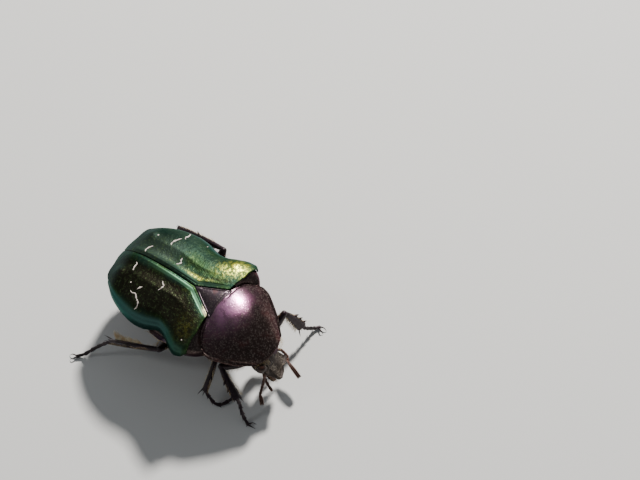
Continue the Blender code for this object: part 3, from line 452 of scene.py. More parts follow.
class Recipe:
    """A material under construction, with short ways to the nodes that it needs."""

    def __init__(self, name: str) -> None:
        self.material = bpy.data.materials.new(name)
        self.material.use_nodes = True
        self.tree = self.material.node_tree
        self.surface = self.tree.nodes["Principled BSDF"]

    def node(self, kind: str, inputs: Inputs | None = None, **settings: object) -> Node:
        """Add a node to the material."""
        return add_node(self.tree, "ShaderNode" + kind, inputs, **settings)

    def places(self) -> Wire:
        """Return places on the beetle, in millimetres from the middle of the floor under it."""
        raw = self.node("TexCoord").outputs["Object"]
        node = self.node("VectorMath", {0: raw, 3: 1.0 / METRES_PER_MM}, operation="SCALE")
        return Wire(self, node.outputs[0])

    def marks(self) -> tuple[Wire, Wire, Wire]:
        """Return the three numbers kept at each point of the mesh."""
        node = self.node("Attribute", attribute_type="GEOMETRY", attribute_name=MARKS)
        parts = self.node("SeparateXYZ", {0: node.outputs["Vector"]}).outputs
        return Wire(self, parts[0]), Wire(self, parts[1]), Wire(self, parts[2])

    def warp(self, vector: Wire, scale: float, amount: float) -> Wire:
        """Shift places a little by noise, so that cells lose their regular outline."""
        noise = self.node("TexNoise", {"Vector": vector, "Scale": scale, "Detail": 2.0})
        inputs = {0: noise.outputs["Color"], 1: (amount, amount, amount), 2: vector}
        return Wire(self, self.node("VectorMath", inputs, operation="MULTIPLY_ADD").outputs[0])

    def noise(self, vector: Wire, scale: float, detail: float = 3.0, roughness: float = 0.55) -> Wire:
        """Return soft noise from 0 to 1."""
        inputs = {"Vector": vector, "Scale": scale, "Detail": detail, "Roughness": roughness}
        return Wire(self, self.node("TexNoise", inputs).outputs[0])

    def patches(self, vector: Wire, patch: Point) -> Wire:
        """Return soft patches, given by their scale and by where the noise starts and ends to count."""
        return self.noise(vector, patch[0]).rise(*patch[1:])

    def cells(self, vector: Wire, scale: float, loose: float = 1.0) -> Wire:
        """Return the distance to the nearest of many scattered points."""
        inputs = {"Vector": vector, "Scale": scale, "Randomness": loose}
        return Wire(self, self.node("TexVoronoi", inputs, feature="F1").outputs["Distance"])

    def mix(self, share: Wire | float, first: Wire | Colour, second: Wire | Colour) -> Wire:
        """Blend two colours."""
        inputs = {0: share, 6: first, 7: second}
        return Wire(self, self.node("Mix", inputs, data_type="RGBA", blend_type="MIX").outputs[2])

    def finish(self, colour: Wire, roughness: Wire | float, metallic: float, height: Wire | None = None,
               depth: float = 0.02, coat: float = 0.0, coat_roughness: float = 0.15,
               rim: Colour = (1.0, 1.0, 1.0), strength: float = 0.6) -> Material:
        """Plug everything into the surface and return the material.

        Args:
            colour: base colour.
            roughness: roughness, as a wire or a number.
            metallic: how metallic the surface is.
            height: relief from 0 to 1.
            depth: how deep that relief is, in millimetres.
            coat: weight of the clear layer on top.
            coat_roughness: roughness of that layer.
            rim: tint of the reflection where the surface is seen at a flat angle.
            strength: how strongly the relief shows.
        """
        surface = self.surface
        plug(self.tree, surface.inputs["Base Color"], colour)
        plug(self.tree, surface.inputs["Roughness"], roughness)
        surface.inputs["Metallic"].default_value = metallic
        surface.inputs["Coat Weight"].default_value = coat
        surface.inputs["Coat Roughness"].default_value = coat_roughness
        surface.inputs["Specular Tint"].default_value = (*rim, 1.0)
        if height is not None:
            inputs = {"Height": height, "Distance": depth * METRES_PER_MM, "Strength": strength}
            bump = self.node("Bump", inputs)
            self.tree.links.new(bump.outputs[0], surface.inputs["Normal"])
        return self.material


@dataclass(frozen=True)
class Zone:
    """Part of a piece, found by how far across and along it a point lies.

    Steps are given by their start and end, bumps by their middle and width.
    """

    across: tuple[Span, ...] = ()
    along: tuple[Span, ...] = ()
    across_bump: Span | None = None
    along_bump: Span | None = None
    amount: float = 1.0

    def mask(self, across: Wire, along: Wire) -> Wire:
        """Return the amount inside the zone and 0 outside it."""
        parts = [across.rise(*step) for step in self.across]
        parts += [across.bell(*self.across_bump)] if self.across_bump else []
        parts += [along.rise(*step) for step in self.along]
        parts += [along.bell(*self.along_bump)] if self.along_bump else []
        parts += [self.amount] if self.amount != 1.0 else []
        return math.prod(parts[1:], start=parts[0])


@dataclass(frozen=True)
class Hammer:
    """Fine relief of a shell: its grain, its pits and the bright arcs round some of them."""

    grain_scale: float
    grain_relief: float
    pit_scale: float
    pit_warp: Span
    pit_step: Span
    pit_relief: float
    arc: Span
    arc_patch: Point

    def wires(self, r: Recipe, places: Wire) -> tuple[Wire, Wire, Wire]:
        """Return the grain, the arcs and the relief."""
        grain = r.noise(places, self.grain_scale, 2.0)
        pits = r.cells(r.warp(places, *self.pit_warp), self.pit_scale)
        arcs = pits.bell(*self.arc) * r.patches(places, self.arc_patch)
        return grain, arcs, grain * self.grain_relief + pits.rise(*self.pit_step) * self.pit_relief


@dataclass(frozen=True)
class WingCaseFinish:
    """Metallic green and bronze, hammered, smooth blue-green slopes, painted gold highlights and shade."""

    green: Colour = (0.019, 0.040, 0.013)
    teal: Colour = (0.018, 0.044, 0.030)
    # Gold metal, painted bright where the lamp's highlight falls on the left case: partly a painted
    # highlight.
    painted_gold_highlight: Colour = (0.43, 0.42, 0.05)
    # Bronze of random blotches, and painted shade on the disc of the right case, which faces away from the
    # lamp.
    bronze: Colour = (0.013, 0.011, 0.007)
    # Painted shade, laid on the outer part of the left case and on its seam slope.
    painted_shade: Colour = (0.008, 0.017, 0.012)
    # rear: painted highlight, a brighter left rear.
    rear: Colour = (0.038, 0.056, 0.042)
    steel: Colour = (0.052, 0.060, 0.060)
    edge: Colour = (0.024, 0.056, 0.054)
    # speck: pale arcs round the pits, partly painted glints on their rims.
    speck: Colour = (0.07, 0.105, 0.04)
    # ridge: painted reflection along the lit seam strip of the right case.
    ridge: Colour = (0.085, 0.19, 0.11)
    # Painted glint at the front end of the right case's seam strip.
    painted_glint: Colour = (0.95, 0.85, 0.5)
    rim: Colour = (0.42, 0.58, 0.54)
    hammer: Hammer = Hammer(3.6, 1.3, 5.5, (3.0, 0.35), (0.1, 0.45), 0.3, (0.42, 0.1), (4.0, 0.49, 0.62))
    tint: Point = (0.55, 0.35, 0.65)
    blotch_scale: float = 1.9
    blotch_step: Span = (0.5, 0.75)
    blotch_amount: float = 0.3
    right_step: Span = (0.3, -0.3)
    # disc: where the bronze painted shade lies, strong on the right case; bright_base keeps it off the green
    # base.
    disc: Zone = Zone(((0.08, 0.2), (0.94, 0.78)), ((-0.02, 0.05),))
    disc_shade_right: float = 0.9
    disc_left: float = 0.05
    bright_base: Zone = Zone(((0.3, 0.1),), ((0.35, 0.2),), amount=0.7)
    dark_line: Zone = Zone(across_bump=(0.2, 0.035), amount=0.5)
    # Where the gold painted highlight lies: the left shoulder and along the seam, almost none on the right.
    gold_patch: Zone = Zone(across_bump=(0.6, 0.2), along_bump=(0.1, 0.09))
    gold_line: Zone = Zone(across_bump=(0.15, 0.035), along_bump=(0.27, 0.09), amount=0.6)
    gold_lost_right: float = 0.92
    gold_grain: Scale = (0.42, 0.58, 0.12, 1.1)
    # Painted highlight on the rear half of the left case.
    rear_highlight_part: Zone = Zone(along=((0.4, 0.65),), amount=0.8)
    # Painted shade on the outer part of the left case, over the band where the lamp's highlight would fall.
    outer_shade_part: Zone = Zone(along=((0.14, 0.28),), across_bump=(0.66, 0.2))
    outer_shade: float = 0.92
    slope: Zone = Zone(((0.86, 0.94),), ((0.0, 0.06),))
    slope_front: Zone = Zone(along=((0.35, 0.15),), amount=0.5)
    slope_tint: float = 0.95
    tip: Zone = Zone(along=((0.84, 0.95),), amount=0.8)
    # seam: painted shade on the left case's seam slope, which faces away from the lamp.
    seam: Zone = Zone(((0.13, 0.07),), ((0.02, 0.1), (0.85, 0.5)), amount=0.85)
    # strip: the smooth seam strip; on the right case it carries a painted reflection that fades rearward.
    strip: Zone = Zone(((0.015, 0.035), (0.12, 0.085)), ((0.0, 0.05), (0.8, 0.4)))
    strip_fade: Scale = (0.75, 0.25, 0.45, 0.85)
    # Where the painted glint lies.
    painted_glint_spot: Zone = Zone(((0.09, 0.04),), along_bump=(0.03, 0.03), amount=0.9)
    smooth_slope: float = 0.85
    # The arcs' painted glints are dimmed on the unlit right case and in the outer painted shade.
    arc_amount: float = 0.75
    arc_lost_right: float = 0.25
    arc_lost_outside: float = 0.75
    metallic: float = 0.95
    roughness: float = 0.44
    rough_rear: Scale = (0.3, 0.7, 0.0, 0.04)
    rough_shares: Row = (0.08, -0.04, 0.04, -0.16, -0.08)
    depth: float = 0.026

    def make(self) -> Material:
        """Return the material; it reads how far across and along the wing case a point lies."""
        r = Recipe("finish_wing_case")
        across, along, side = r.marks()
        places = r.places()
        blotches = r.noise(places, self.blotch_scale)
        grain, arcs, relief = self.hammer.wires(r, places)
        right = side.rise(*self.right_step)
        left = 1.0 - right

        def area(zone: Zone) -> Wire:
            return zone.mask(across, along)

        # Bronze: painted shade over the right case's disc, plus random blotches and a dark line on the left.
        dark = area(self.disc) * (right * self.disc_shade_right + self.disc_left) * (1.0 - area(self.bright_base))
        dark = dark + blotches.rise(*self.blotch_step) * self.blotch_amount + area(self.dark_line) * left
        # shine: painted gold highlight on the left shoulder and along the seam, broken by the grain.
        shine = (area(self.gold_patch) + area(self.gold_line)) * (1.0 - right * self.gold_lost_right)
        shine = (shine * grain.rise(*self.gold_grain)).clamp()
        # outer: mask of the painted shade on the left case.
        outer, slope, strip = area(self.outer_shade_part) * left, area(self.slope), area(self.strip)
        colour = r.mix(r.patches(places, self.tint), self.green, self.teal)
        # Layers over the green: bronze with painted shade, a painted highlight, painted shade, edge, tip,
        # painted reflection, painted glint.
        layers = ((dark.clamp(), self.bronze),
                  (area(self.rear_highlight_part) * left, self.rear),
                  (outer * self.outer_shade, self.painted_shade),
                  (shine, self.painted_gold_highlight),
                  (slope * (1.0 - right * area(self.slope_front)) * self.slope_tint, self.edge),
                  (area(self.tip), self.steel),
                  (area(self.seam) * left, self.painted_shade),
                  (strip * right * along.rise(*self.strip_fade), self.ridge),
                  (area(self.painted_glint_spot) * right, self.painted_glint))
        for share, tone in layers:
            colour = r.mix(share, colour, tone)
        hammered = (1.0 - strip) * (1.0 - slope * self.smooth_slope)
        # The arcs are partly painted glints, so they are dimmer on the right case and in the outer painted
        # shade.
        arcs = arcs * hammered * (self.arc_amount - right * self.arc_lost_right)
        colour = r.mix(arcs * (1.0 - outer * self.arc_lost_outside), colour, self.speck)
        rough = self.roughness + along.rise(*self.rough_rear)
        for part, share in zip((blotches, right, strip, shine, slope), self.rough_shares):
            rough = rough + part * share
        relief = relief * hammered
        return r.finish(colour, rough, self.metallic, relief, self.depth, rim=self.rim, strength=1.0)


@dataclass(frozen=True)
class ShieldFinish:
    """Dark purple bronze, dense fine grain, purpler along the middle, and a painted pink highlight."""

    name: str = "finish_shield"
    purple: Colour = (0.25, 0.115, 0.205)
    brown: Colour = (0.040, 0.026, 0.023)
    red: Colour = (0.080, 0.030, 0.027)
    speck: Colour = (0.20, 0.160, 0.140)
    # Painted highlight: pink where the key lamp's highlight falls on the shield.
    painted_highlight_pink: Colour = (1.0, 0.36, 0.68)
    rim: Colour = (0.6, 0.42, 0.52)
    zone: Zone = Zone(across_bump=(0.0, 0.5), along_bump=(0.85, 0.24))
    zone_noise: Scale = (0.3, 0.6, 0.55, 1.1)
    # How strongly the painted pink highlight and its smoother spot show.
    painted_gleam: float = 0.9
    painted_gleam_spot: Zone = Zone(across_bump=(0.29, 0.22), along_bump=(0.73, 0.085))
    gleam_polish: Zone = Zone(across_bump=(0.29, 0.16), along_bump=(0.73, 0.12), amount=0.06)
    blotch_scale: float = 1.1
    blotch_step: Span = (0.5, 0.75)
    blotch_amount: float = 0.6
    hammer: Hammer = Hammer(4.5, 1.2, 6.5, (3.0, 0.3), (0.08, 0.4), 0.4, (0.38, 0.14), (6.0, 0.47, 0.58))
    arc_amount: float = 0.75
    arc_lost_in_zone: float = 0.6
    roughness: float = 0.22
    rough_noise: float = 0.12
    metallic: float = 0.9
    depth: float = 0.008

    def make(self) -> Material:
        """Return the material; it reads how far across and along the shield a point lies."""
        r = Recipe(self.name)
        across, along, _ = r.marks()
        places = r.places()
        blotches = r.noise(places, self.blotch_scale)
        _, arcs, relief = self.hammer.wires(r, places)
        zone = (self.zone.mask(across, along) * blotches.rise(*self.zone_noise)).clamp()
        colour = r.mix(blotches.rise(*self.blotch_step) * self.blotch_amount, self.brown, self.red)
        colour = r.mix(zone, colour, self.purple)
        # Painted pink highlight where the key lamp's highlight falls.
        colour = r.mix(self.painted_gleam_spot.mask(across, along) * self.painted_gleam, colour, self.painted_highlight_pink)
        colour = r.mix(arcs * self.arc_amount * (1.0 - zone * self.arc_lost_in_zone), colour, self.speck)
        rough = self.roughness + blotches * self.rough_noise
        rough = rough - self.gleam_polish.mask(across, along) * self.painted_gleam
        return r.finish(colour, rough, self.metallic, relief, self.depth, rim=self.rim, strength=1.0)


@dataclass(frozen=True)
class PlateFinish:
    """Chitin of the body, legs and head: dark, with a cast of colour, pits and worn spots."""

    name: str
    base: Colour
    cast: Colour
    worn: Colour
    roughness: float
    metallic: float
    pit_scale: float
    pit_depth: float
    coat: float = 0.1
    coat_roughness: float = 0.2
    speckle: float = 0.0
    speckle_step: Span = (0.32, 0.1)
    rim: Colour = (0.5, 0.42, 0.45)
    cast_patch: Point = (0.7, 0.35, 0.65)
    grain_scale: float = 3.0
    grain_detail: float = 4.0
    grain_relief: float = 0.2
    worn_step: Span = (0.5, 0.8)
    worn_amount: float = 0.6
    pit_warp: Span = (3.0, 0.3)
    pit_step: Span = (0.06, 0.42)
    pit_relief: float = 0.8
    rough_noise: Span = (-0.08, 0.2)

    def make(self) -> Material:
        """Return the material."""
        r = Recipe(self.name)
        places = r.places()
        grain = r.noise(places, self.grain_scale, self.grain_detail)
        colour = r.mix(r.patches(places, self.cast_patch), self.base, self.cast)
        colour = r.mix(grain.rise(*self.worn_step) * self.worn_amount, colour, self.worn)
        pits = r.cells(r.warp(places, *self.pit_warp), self.pit_scale)
        if self.speckle > 0.0:
            colour = r.mix(pits.rise(*self.speckle_step) * self.speckle, colour, self.worn)
        rough = self.roughness + grain * self.rough_noise[1] + self.rough_noise[0]
        relief = pits.rise(*self.pit_step) * self.pit_relief + grain * self.grain_relief
        return r.finish(colour, rough, self.metallic, relief, self.pit_depth, self.coat, self.coat_roughness,
                        rim=self.rim)


@dataclass(frozen=True)
class EyeFinish:
    """Nearly black with a red-brown depth, broken into fine facets."""

    dark: Colour = (0.012, 0.007, 0.006)
    warm: Colour = (0.05, 0.018, 0.01)
    rim: Colour = (0.5, 0.36, 0.32)
    warm_patch: Point = (2.0, 0.4, 0.7)
    facet_scale: float = 26.0
    facet_loose: float = 0.15
    facet_step: Span = (0.2, 0.45)
    facet_shade: float = 0.4
    dome_step: Span = (0.5, 0.1)
    depth: float = 0.006
    roughness: float = 0.2
    rough_facets: float = 0.15
    coat: float = 0.2
    coat_roughness: float = 0.12

    def make(self) -> Material:
        """Return the material."""
        r = Recipe("finish_eye")
        places = r.places()
        facets = r.cells(places, self.facet_scale, self.facet_loose)
        colour = r.mix(r.patches(places, self.warm_patch), self.dark, self.warm)
        colour = r.mix(facets.rise(*self.facet_step) * self.facet_shade, colour, self.dark)
        rough = self.roughness + facets * self.rough_facets
        return r.finish(colour, rough, 0.0, facets.rise(*self.dome_step), self.depth, self.coat,
                        self.coat_roughness, self.rim)


@dataclass(frozen=True)
class HairFinish:
    """Golden hair, paler toward some of the tips."""

    name: str
    deep: Colour
    pale: Colour
    patch: Point = (1.6, 0.35, 0.65)
    roughness: float = 0.45
    coat: float = 0.1

    def make(self) -> Material:
        """Return the material."""
        r = Recipe(self.name)
        colour = r.mix(r.patches(r.places(), self.patch), self.deep, self.pale)
        return r.finish(colour, self.roughness, 0.0, coat=self.coat)


@dataclass(frozen=True)
class ChalkFinish:
    """Chalky white of the marks, cracked and a little stained."""

    white: Colour = (0.62, 0.54, 0.49)
    stain: Colour = (0.36, 0.28, 0.23)
    scale: float = 14.0
    step: Span = (0.45, 0.75)
    roughness: float = 0.75
    depth: float = 0.01

    def make(self) -> Material:
        """Return the material."""
        r = Recipe("finish_mark")
        grain = r.noise(r.places(), self.scale)
        colour = r.mix(grain.rise(*self.step), self.white, self.stain)
        return r.finish(colour, self.roughness, 0.0, grain, self.depth)


@dataclass(frozen=True)
class FloorFinish:
    """Pale matt floor."""

    tone: Colour = (0.62, 0.61, 0.585)
    other: Colour = (0.58, 0.575, 0.56)
    scale: float = 0.02
    roughness: float = 0.85

    def make(self) -> Material:
        """Return the material."""
        r = Recipe("finish_floor")
        colour = r.mix(r.noise(r.places(), self.scale), self.tone, self.other)
        return r.finish(colour, self.roughness, 0.0)


class Looks:
    """Every finish, made once."""

    def __init__(self) -> None:
        self.wing = WingCaseFinish().make()
        self.shield = ShieldFinish().make()
        self.scutellum = ShieldFinish("finish_scutellum", purple=(0.05, 0.036, 0.05),
                                      brown=(0.04, 0.03, 0.036), speck=(0.10, 0.085, 0.08),
                                      depth=0.005, painted_gleam=0.0).make()
        self.gloss = ShieldFinish("finish_gloss", purple=(0.06, 0.036, 0.052), brown=(0.036, 0.026, 0.024),
                                  speck=(0.12, 0.10, 0.09), roughness=0.25, painted_gleam=0.0).make()
        self.body = PlateFinish("finish_body", base=(0.034, 0.016, 0.03), cast=(0.04, 0.024, 0.02),
                                worn=(0.09, 0.06, 0.06), roughness=0.36, metallic=0.6, pit_scale=5.0,
                                pit_depth=0.02).make()
        self.head = PlateFinish("finish_head", base=(0.026, 0.020, 0.015), cast=(0.016, 0.012, 0.009),
                                worn=(0.15, 0.127, 0.095), roughness=0.52, metallic=0.3, pit_scale=9.0,
                                pit_depth=0.04, coat=0.0, speckle=0.4).make()
        self.leg = PlateFinish("finish_leg", base=(0.008, 0.006, 0.006), cast=(0.018, 0.009, 0.013),
                               worn=(0.05, 0.037, 0.032), roughness=0.38, metallic=0.3, pit_scale=4.2,
                               pit_depth=0.03).make()
        self.feeler = PlateFinish("finish_feeler", base=(0.05, 0.022, 0.016), cast=(0.075, 0.035, 0.022),
                                  worn=(0.16, 0.09, 0.06), roughness=0.45, metallic=0.1, pit_scale=9.0,
                                  pit_depth=0.015).make()
        self.eye = EyeFinish().make()
        self.golden = HairFinish("finish_hair", (0.45, 0.31, 0.14), (0.70, 0.56, 0.34)).make()
        self.pale = HairFinish("finish_pale_hair", (0.66, 0.50, 0.28), (0.92, 0.80, 0.56)).make()
        self.down = HairFinish("finish_down", (0.30, 0.25, 0.19), (0.5, 0.44, 0.36)).make()
        self.mark = ChalkFinish().make()
        self.floor = FloorFinish().make()


# Hair


@dataclass
class Cover:
    """A patch of skin that hair grows on: its grid, which way is out, the lie and how dense it is."""

    grid: Array
    out: Array
    lie: Array
    density: Array


@dataclass
class Coat:
    """Bristles and hair scattered over patches of the skin by Geometry Nodes.

    Lengths are in millimetres and the density is in hairs for each square millimetre.
    """

    name: str
    seed: int
    length: float
    radius: float
    stand: float = 0.45
    stray: float = 0.25
    bend: float = 0.18
    covers: list[Cover] = field(default_factory=list)
    rings: int = 4
    sides: int = 3
    taper: float = 0.75
    length_range: Span = (0.65, 1.15)
    patch: float = 0.003
    tile_margin: float = 0.06

    def cover(self, grid: Array, out: Array, lie: Sequence[float] | Array, density: Array | float) -> None:
        """Let hair grow on a grid of points, lying along a direction or a field of directions."""
        shape = grid.shape[:2]
        field_of = np.broadcast_to(np.asarray(lie, dtype=float), grid.shape)
        self.covers.append(Cover(grid, unit(out), unit(field_of), np.broadcast_to(density, shape)))

    def strip(self, line: Array, across: Array, width: float, lie: Array, density: float) -> None:
        """Let a fringe grow along a line, on a narrow strip."""
        grid = np.stack([line - across * width / 2.0, line + across * width / 2.0], axis=1)
        field_of = np.broadcast_to(np.asarray(lie, dtype=float), line.shape)
        field_of = np.repeat(field_of[:, None], 2, axis=1)
        self.cover(grid, field_of, field_of, density)

    def hair(self) -> Object:
        """Make the one hair that is repeated: a bent spine along Z that carries its places on the patch."""
        n = self.sides
        t, i = np.repeat(np.arange(self.rings) / self.rings, n), np.tile(np.arange(n), self.rings)
        size, angle = self.radius * (1.0 - self.taper * t), 2.0 * np.pi * i / n
        points = np.stack([size * np.cos(angle) + self.bend * t * t, size * np.sin(angle), t], axis=-1)
        points = np.concatenate([points, [(self.bend, 0.0, 1.0)]])
        local = np.concatenate([np.stack([t, i / n, np.zeros_like(t)], axis=-1), [(1.0, 0.5, 0.0)]])
        faces = [(k * n + i, k * n + (i + 1) % n, (k + 1) * n + (i + 1) % n, (k + 1) * n + i)
                 for k in range(self.rings - 1) for i in range(n)]
        last = (self.rings - 1) * n
        faces += [(last + i, last + (i + 1) % n, last + n) for i in range(n)]
        faces.append(tuple(reversed(range(n))))
        mesh = bpy.data.meshes.new(self.name + "_one")
        mesh.from_pydata((points * METRES_PER_MM).tolist(), [], faces)
        attribute = mesh.attributes.new("local", "FLOAT_VECTOR", "POINT")
        attribute.data.foreach_set("vector", local.astype(np.float32).ravel())
        mesh.shade_smooth()
        return bpy.data.objects.new(self.name + "_one", mesh)

    def carrier(self) -> Object:
        """Make the mesh that carries the patches, with their directions, density and unwrap."""
        tiles = math.ceil(math.sqrt(len(self.covers)))
        inner = 1.0 - 2.0 * self.tile_margin
        points, faces, values = [], [], {"lie": [], "out": [], "root": [], "density": []}
        count = 0
        for index, cover in enumerate(self.covers):
            rows, columns = cover.grid.shape[:2]
            points.append((cover.grid.reshape(-1, 3) - CENTRE) * METRES_PER_MM)
            faces += [tuple(count + i for i in face) for face in grid_faces(rows, columns)]
            count += rows * columns
            u, v = np.meshgrid(ramp(columns), ramp(rows))
            across, along = ((place + self.tile_margin + share * inner) / tiles
                             for place, share in ((index % tiles, u), (index // tiles, v)))
            root = np.stack([across, along, np.zeros_like(u)], axis=-1)
            density = cover.density / METRES_PER_MM**2
            found = {"root": root, "lie": cover.lie, "out": cover.out, "density": density}
            for key, value in found.items():
                values[key].append(value.ravel())
        mesh = bpy.data.meshes.new(self.name + "_carrier")
        mesh.from_pydata(np.concatenate(points).tolist(), [], faces)
        for key, parts in values.items():
            kind, member = ("FLOAT", "value") if key == "density" else ("FLOAT_VECTOR", "vector")
            attribute = mesh.attributes.new(key, kind, "POINT")
            attribute.data.foreach_set(member, np.concatenate(parts).astype(np.float32).ravel())
        return place_object(self.name, mesh)

    def tree(self) -> NodeTree:
        """Build the node tree: scatter roots, turn a hair at each, make them real, give them their finish."""
        tree = bpy.data.node_groups.new(self.name, "GeometryNodeTree")
        sockets = {"Skin": "Geometry", "Hair": "Object", "Finish": "Material", "Seed": "Int",
                   "Length": "Float", "Stand": "Float", "Stray": "Float"}
        for name, kind in sockets.items():
            tree.interface.new_socket(name, in_out="INPUT", socket_type="NodeSocket" + kind)
        tree.interface.new_socket("Coat", in_out="OUTPUT", socket_type="NodeSocketGeometry")

        def out(kind: str, inputs: Inputs, output: int | str = 0,
                **settings: object) -> NodeSocket:
            return add_node(tree, kind, inputs, **settings).outputs[output]

        def named(name: str, kind: str = "FLOAT_VECTOR") -> NodeSocket:
            return out("GeometryNodeInputNamedAttribute", {"Name": name}, "Attribute", data_type=kind)

        def vector(operation: str, first: object, second: object, slot: int = 1) -> NodeSocket:
            return out("ShaderNodeVectorMath", {0: first, slot: second}, operation=operation)

        given = add_node(tree, "NodeGroupInput").outputs
        roots = out("GeometryNodeDistributePointsOnFaces",
                    {"Mesh": given["Skin"], "Density": named("density", "FLOAT"), "Seed": given["Seed"]},
                    "Points", distribute_method="RANDOM")
        chance = out("FunctionNodeRandomValue",
                     {"Min": (-1.0, -1.0, -1.0), "Max": (1.0, 1.0, 1.0), "Seed": given["Seed"]},
                     data_type="FLOAT_VECTOR")
        upright = vector("SCALE", named("out"), given["Stand"], 3)
        stray = vector("SCALE", chance, given["Stray"], 3)
        lie = named("lie")
        ahead = vector("ADD", vector("ADD", lie, upright), stray)
        align = "FunctionNodeAlignRotationToVector"
        turn = out(align, {"Vector": ahead}, axis="Z")
        roll = out(align, {"Rotation": turn, "Vector": lie}, axis="X", pivot_axis="Z")
        low, high = self.length_range
        size = out("FunctionNodeRandomValue", {2: low, 3: high, "Seed": given["Seed"]}, 1, data_type="FLOAT")
        tall = out("ShaderNodeMath", {0: size, 1: given["Length"]}, operation="MULTIPLY")
        scale = out("ShaderNodeCombineXYZ", {0: 1.0, 1: 1.0, 2: tall})
        one = out("GeometryNodeObjectInfo", {"Object": given["Hair"]}, "Geometry")
        hairs = out("GeometryNodeInstanceOnPoints",
                    {"Points": roots, "Instance": one, "Rotation": roll, "Scale": scale})
        real = out("GeometryNodeRealizeInstances", {0: hairs})
        painted = out("GeometryNodeSetMaterial", {"Geometry": real, "Material": given["Finish"]})
        add_node(tree, "NodeGroupOutput", {0: painted})
        return tree

    def make(self, material: Material) -> Object:
        """Grow the coat and return it as a plain mesh with its unwrap.

        Args:
            material: finish of the hair.
        """
        obj = self.carrier()
        one = self.hair()
        tree = self.tree()
        modifier = obj.modifiers.new("coat", "NODES")
        modifier.node_group = tree
        given = {"Hair": one, "Finish": material, "Seed": self.seed, "Length": self.length,
                 "Stand": self.stand, "Stray": self.stray}
        for item in tree.interface.items_tree:
            if item.in_out == "INPUT" and item.name in given:
                modifier[item.identifier] = given[item.name]
        graph = bpy.context.evaluated_depsgraph_get()
        grown = obj.evaluated_get(graph)
        mesh = bpy.data.meshes.new_from_object(grown, preserve_all_data_layers=True, depsgraph=graph)
        obj.modifiers.clear()
        old = obj.data
        obj.data = mesh
        bpy.data.meshes.remove(old)
        bpy.data.objects.remove(one)
        bpy.data.node_groups.remove(tree)
        self.unwrap(mesh)
        return obj

    def unwrap(self, mesh: Mesh) -> None:
        """Give each hair a small patch of the unwrap at its root's place."""
        count = len(mesh.vertices)
        root = np.zeros(count * 3, np.float32)
        local = np.zeros(count * 3, np.float32)
        mesh.attributes["root"].data.foreach_get("vector", root)
        mesh.attributes["local"].data.foreach_get("vector", local)
        places = root.reshape(-1, 3)[:, :2] + (local.reshape(-1, 3)[:, :2] - 0.5) * self.patch
        corner = np.zeros(len(mesh.loops), np.int32)
        mesh.loops.foreach_get("vertex_index", corner)
        layer = mesh.uv_layers.new(name="OFBake")
        layer.data.foreach_set("uv", places[corner].astype(np.float32).ravel())
        for key in ("root", "local", "lie", "out", "density"):
            if key in mesh.attributes:
                mesh.attributes.remove(mesh.attributes[key])


def dress(obj: Object, material: Material, slot: str, *nodes: str) -> None:
    """Give a piece its finish, let it ride on the beetle, and hide the solids that it stands for.

    Args:
        obj: the piece.
        material: its finish.
        slot: not used.
        nodes: names of the solids.
    """
    obj.data.materials.clear()
    obj.data.materials.append(material)
    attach(obj, "root")
    if nodes:
        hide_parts(*nodes)
    log.info("%s: %d faces", obj.name, len(obj.data.polygons))


# Pronotum and scutellum


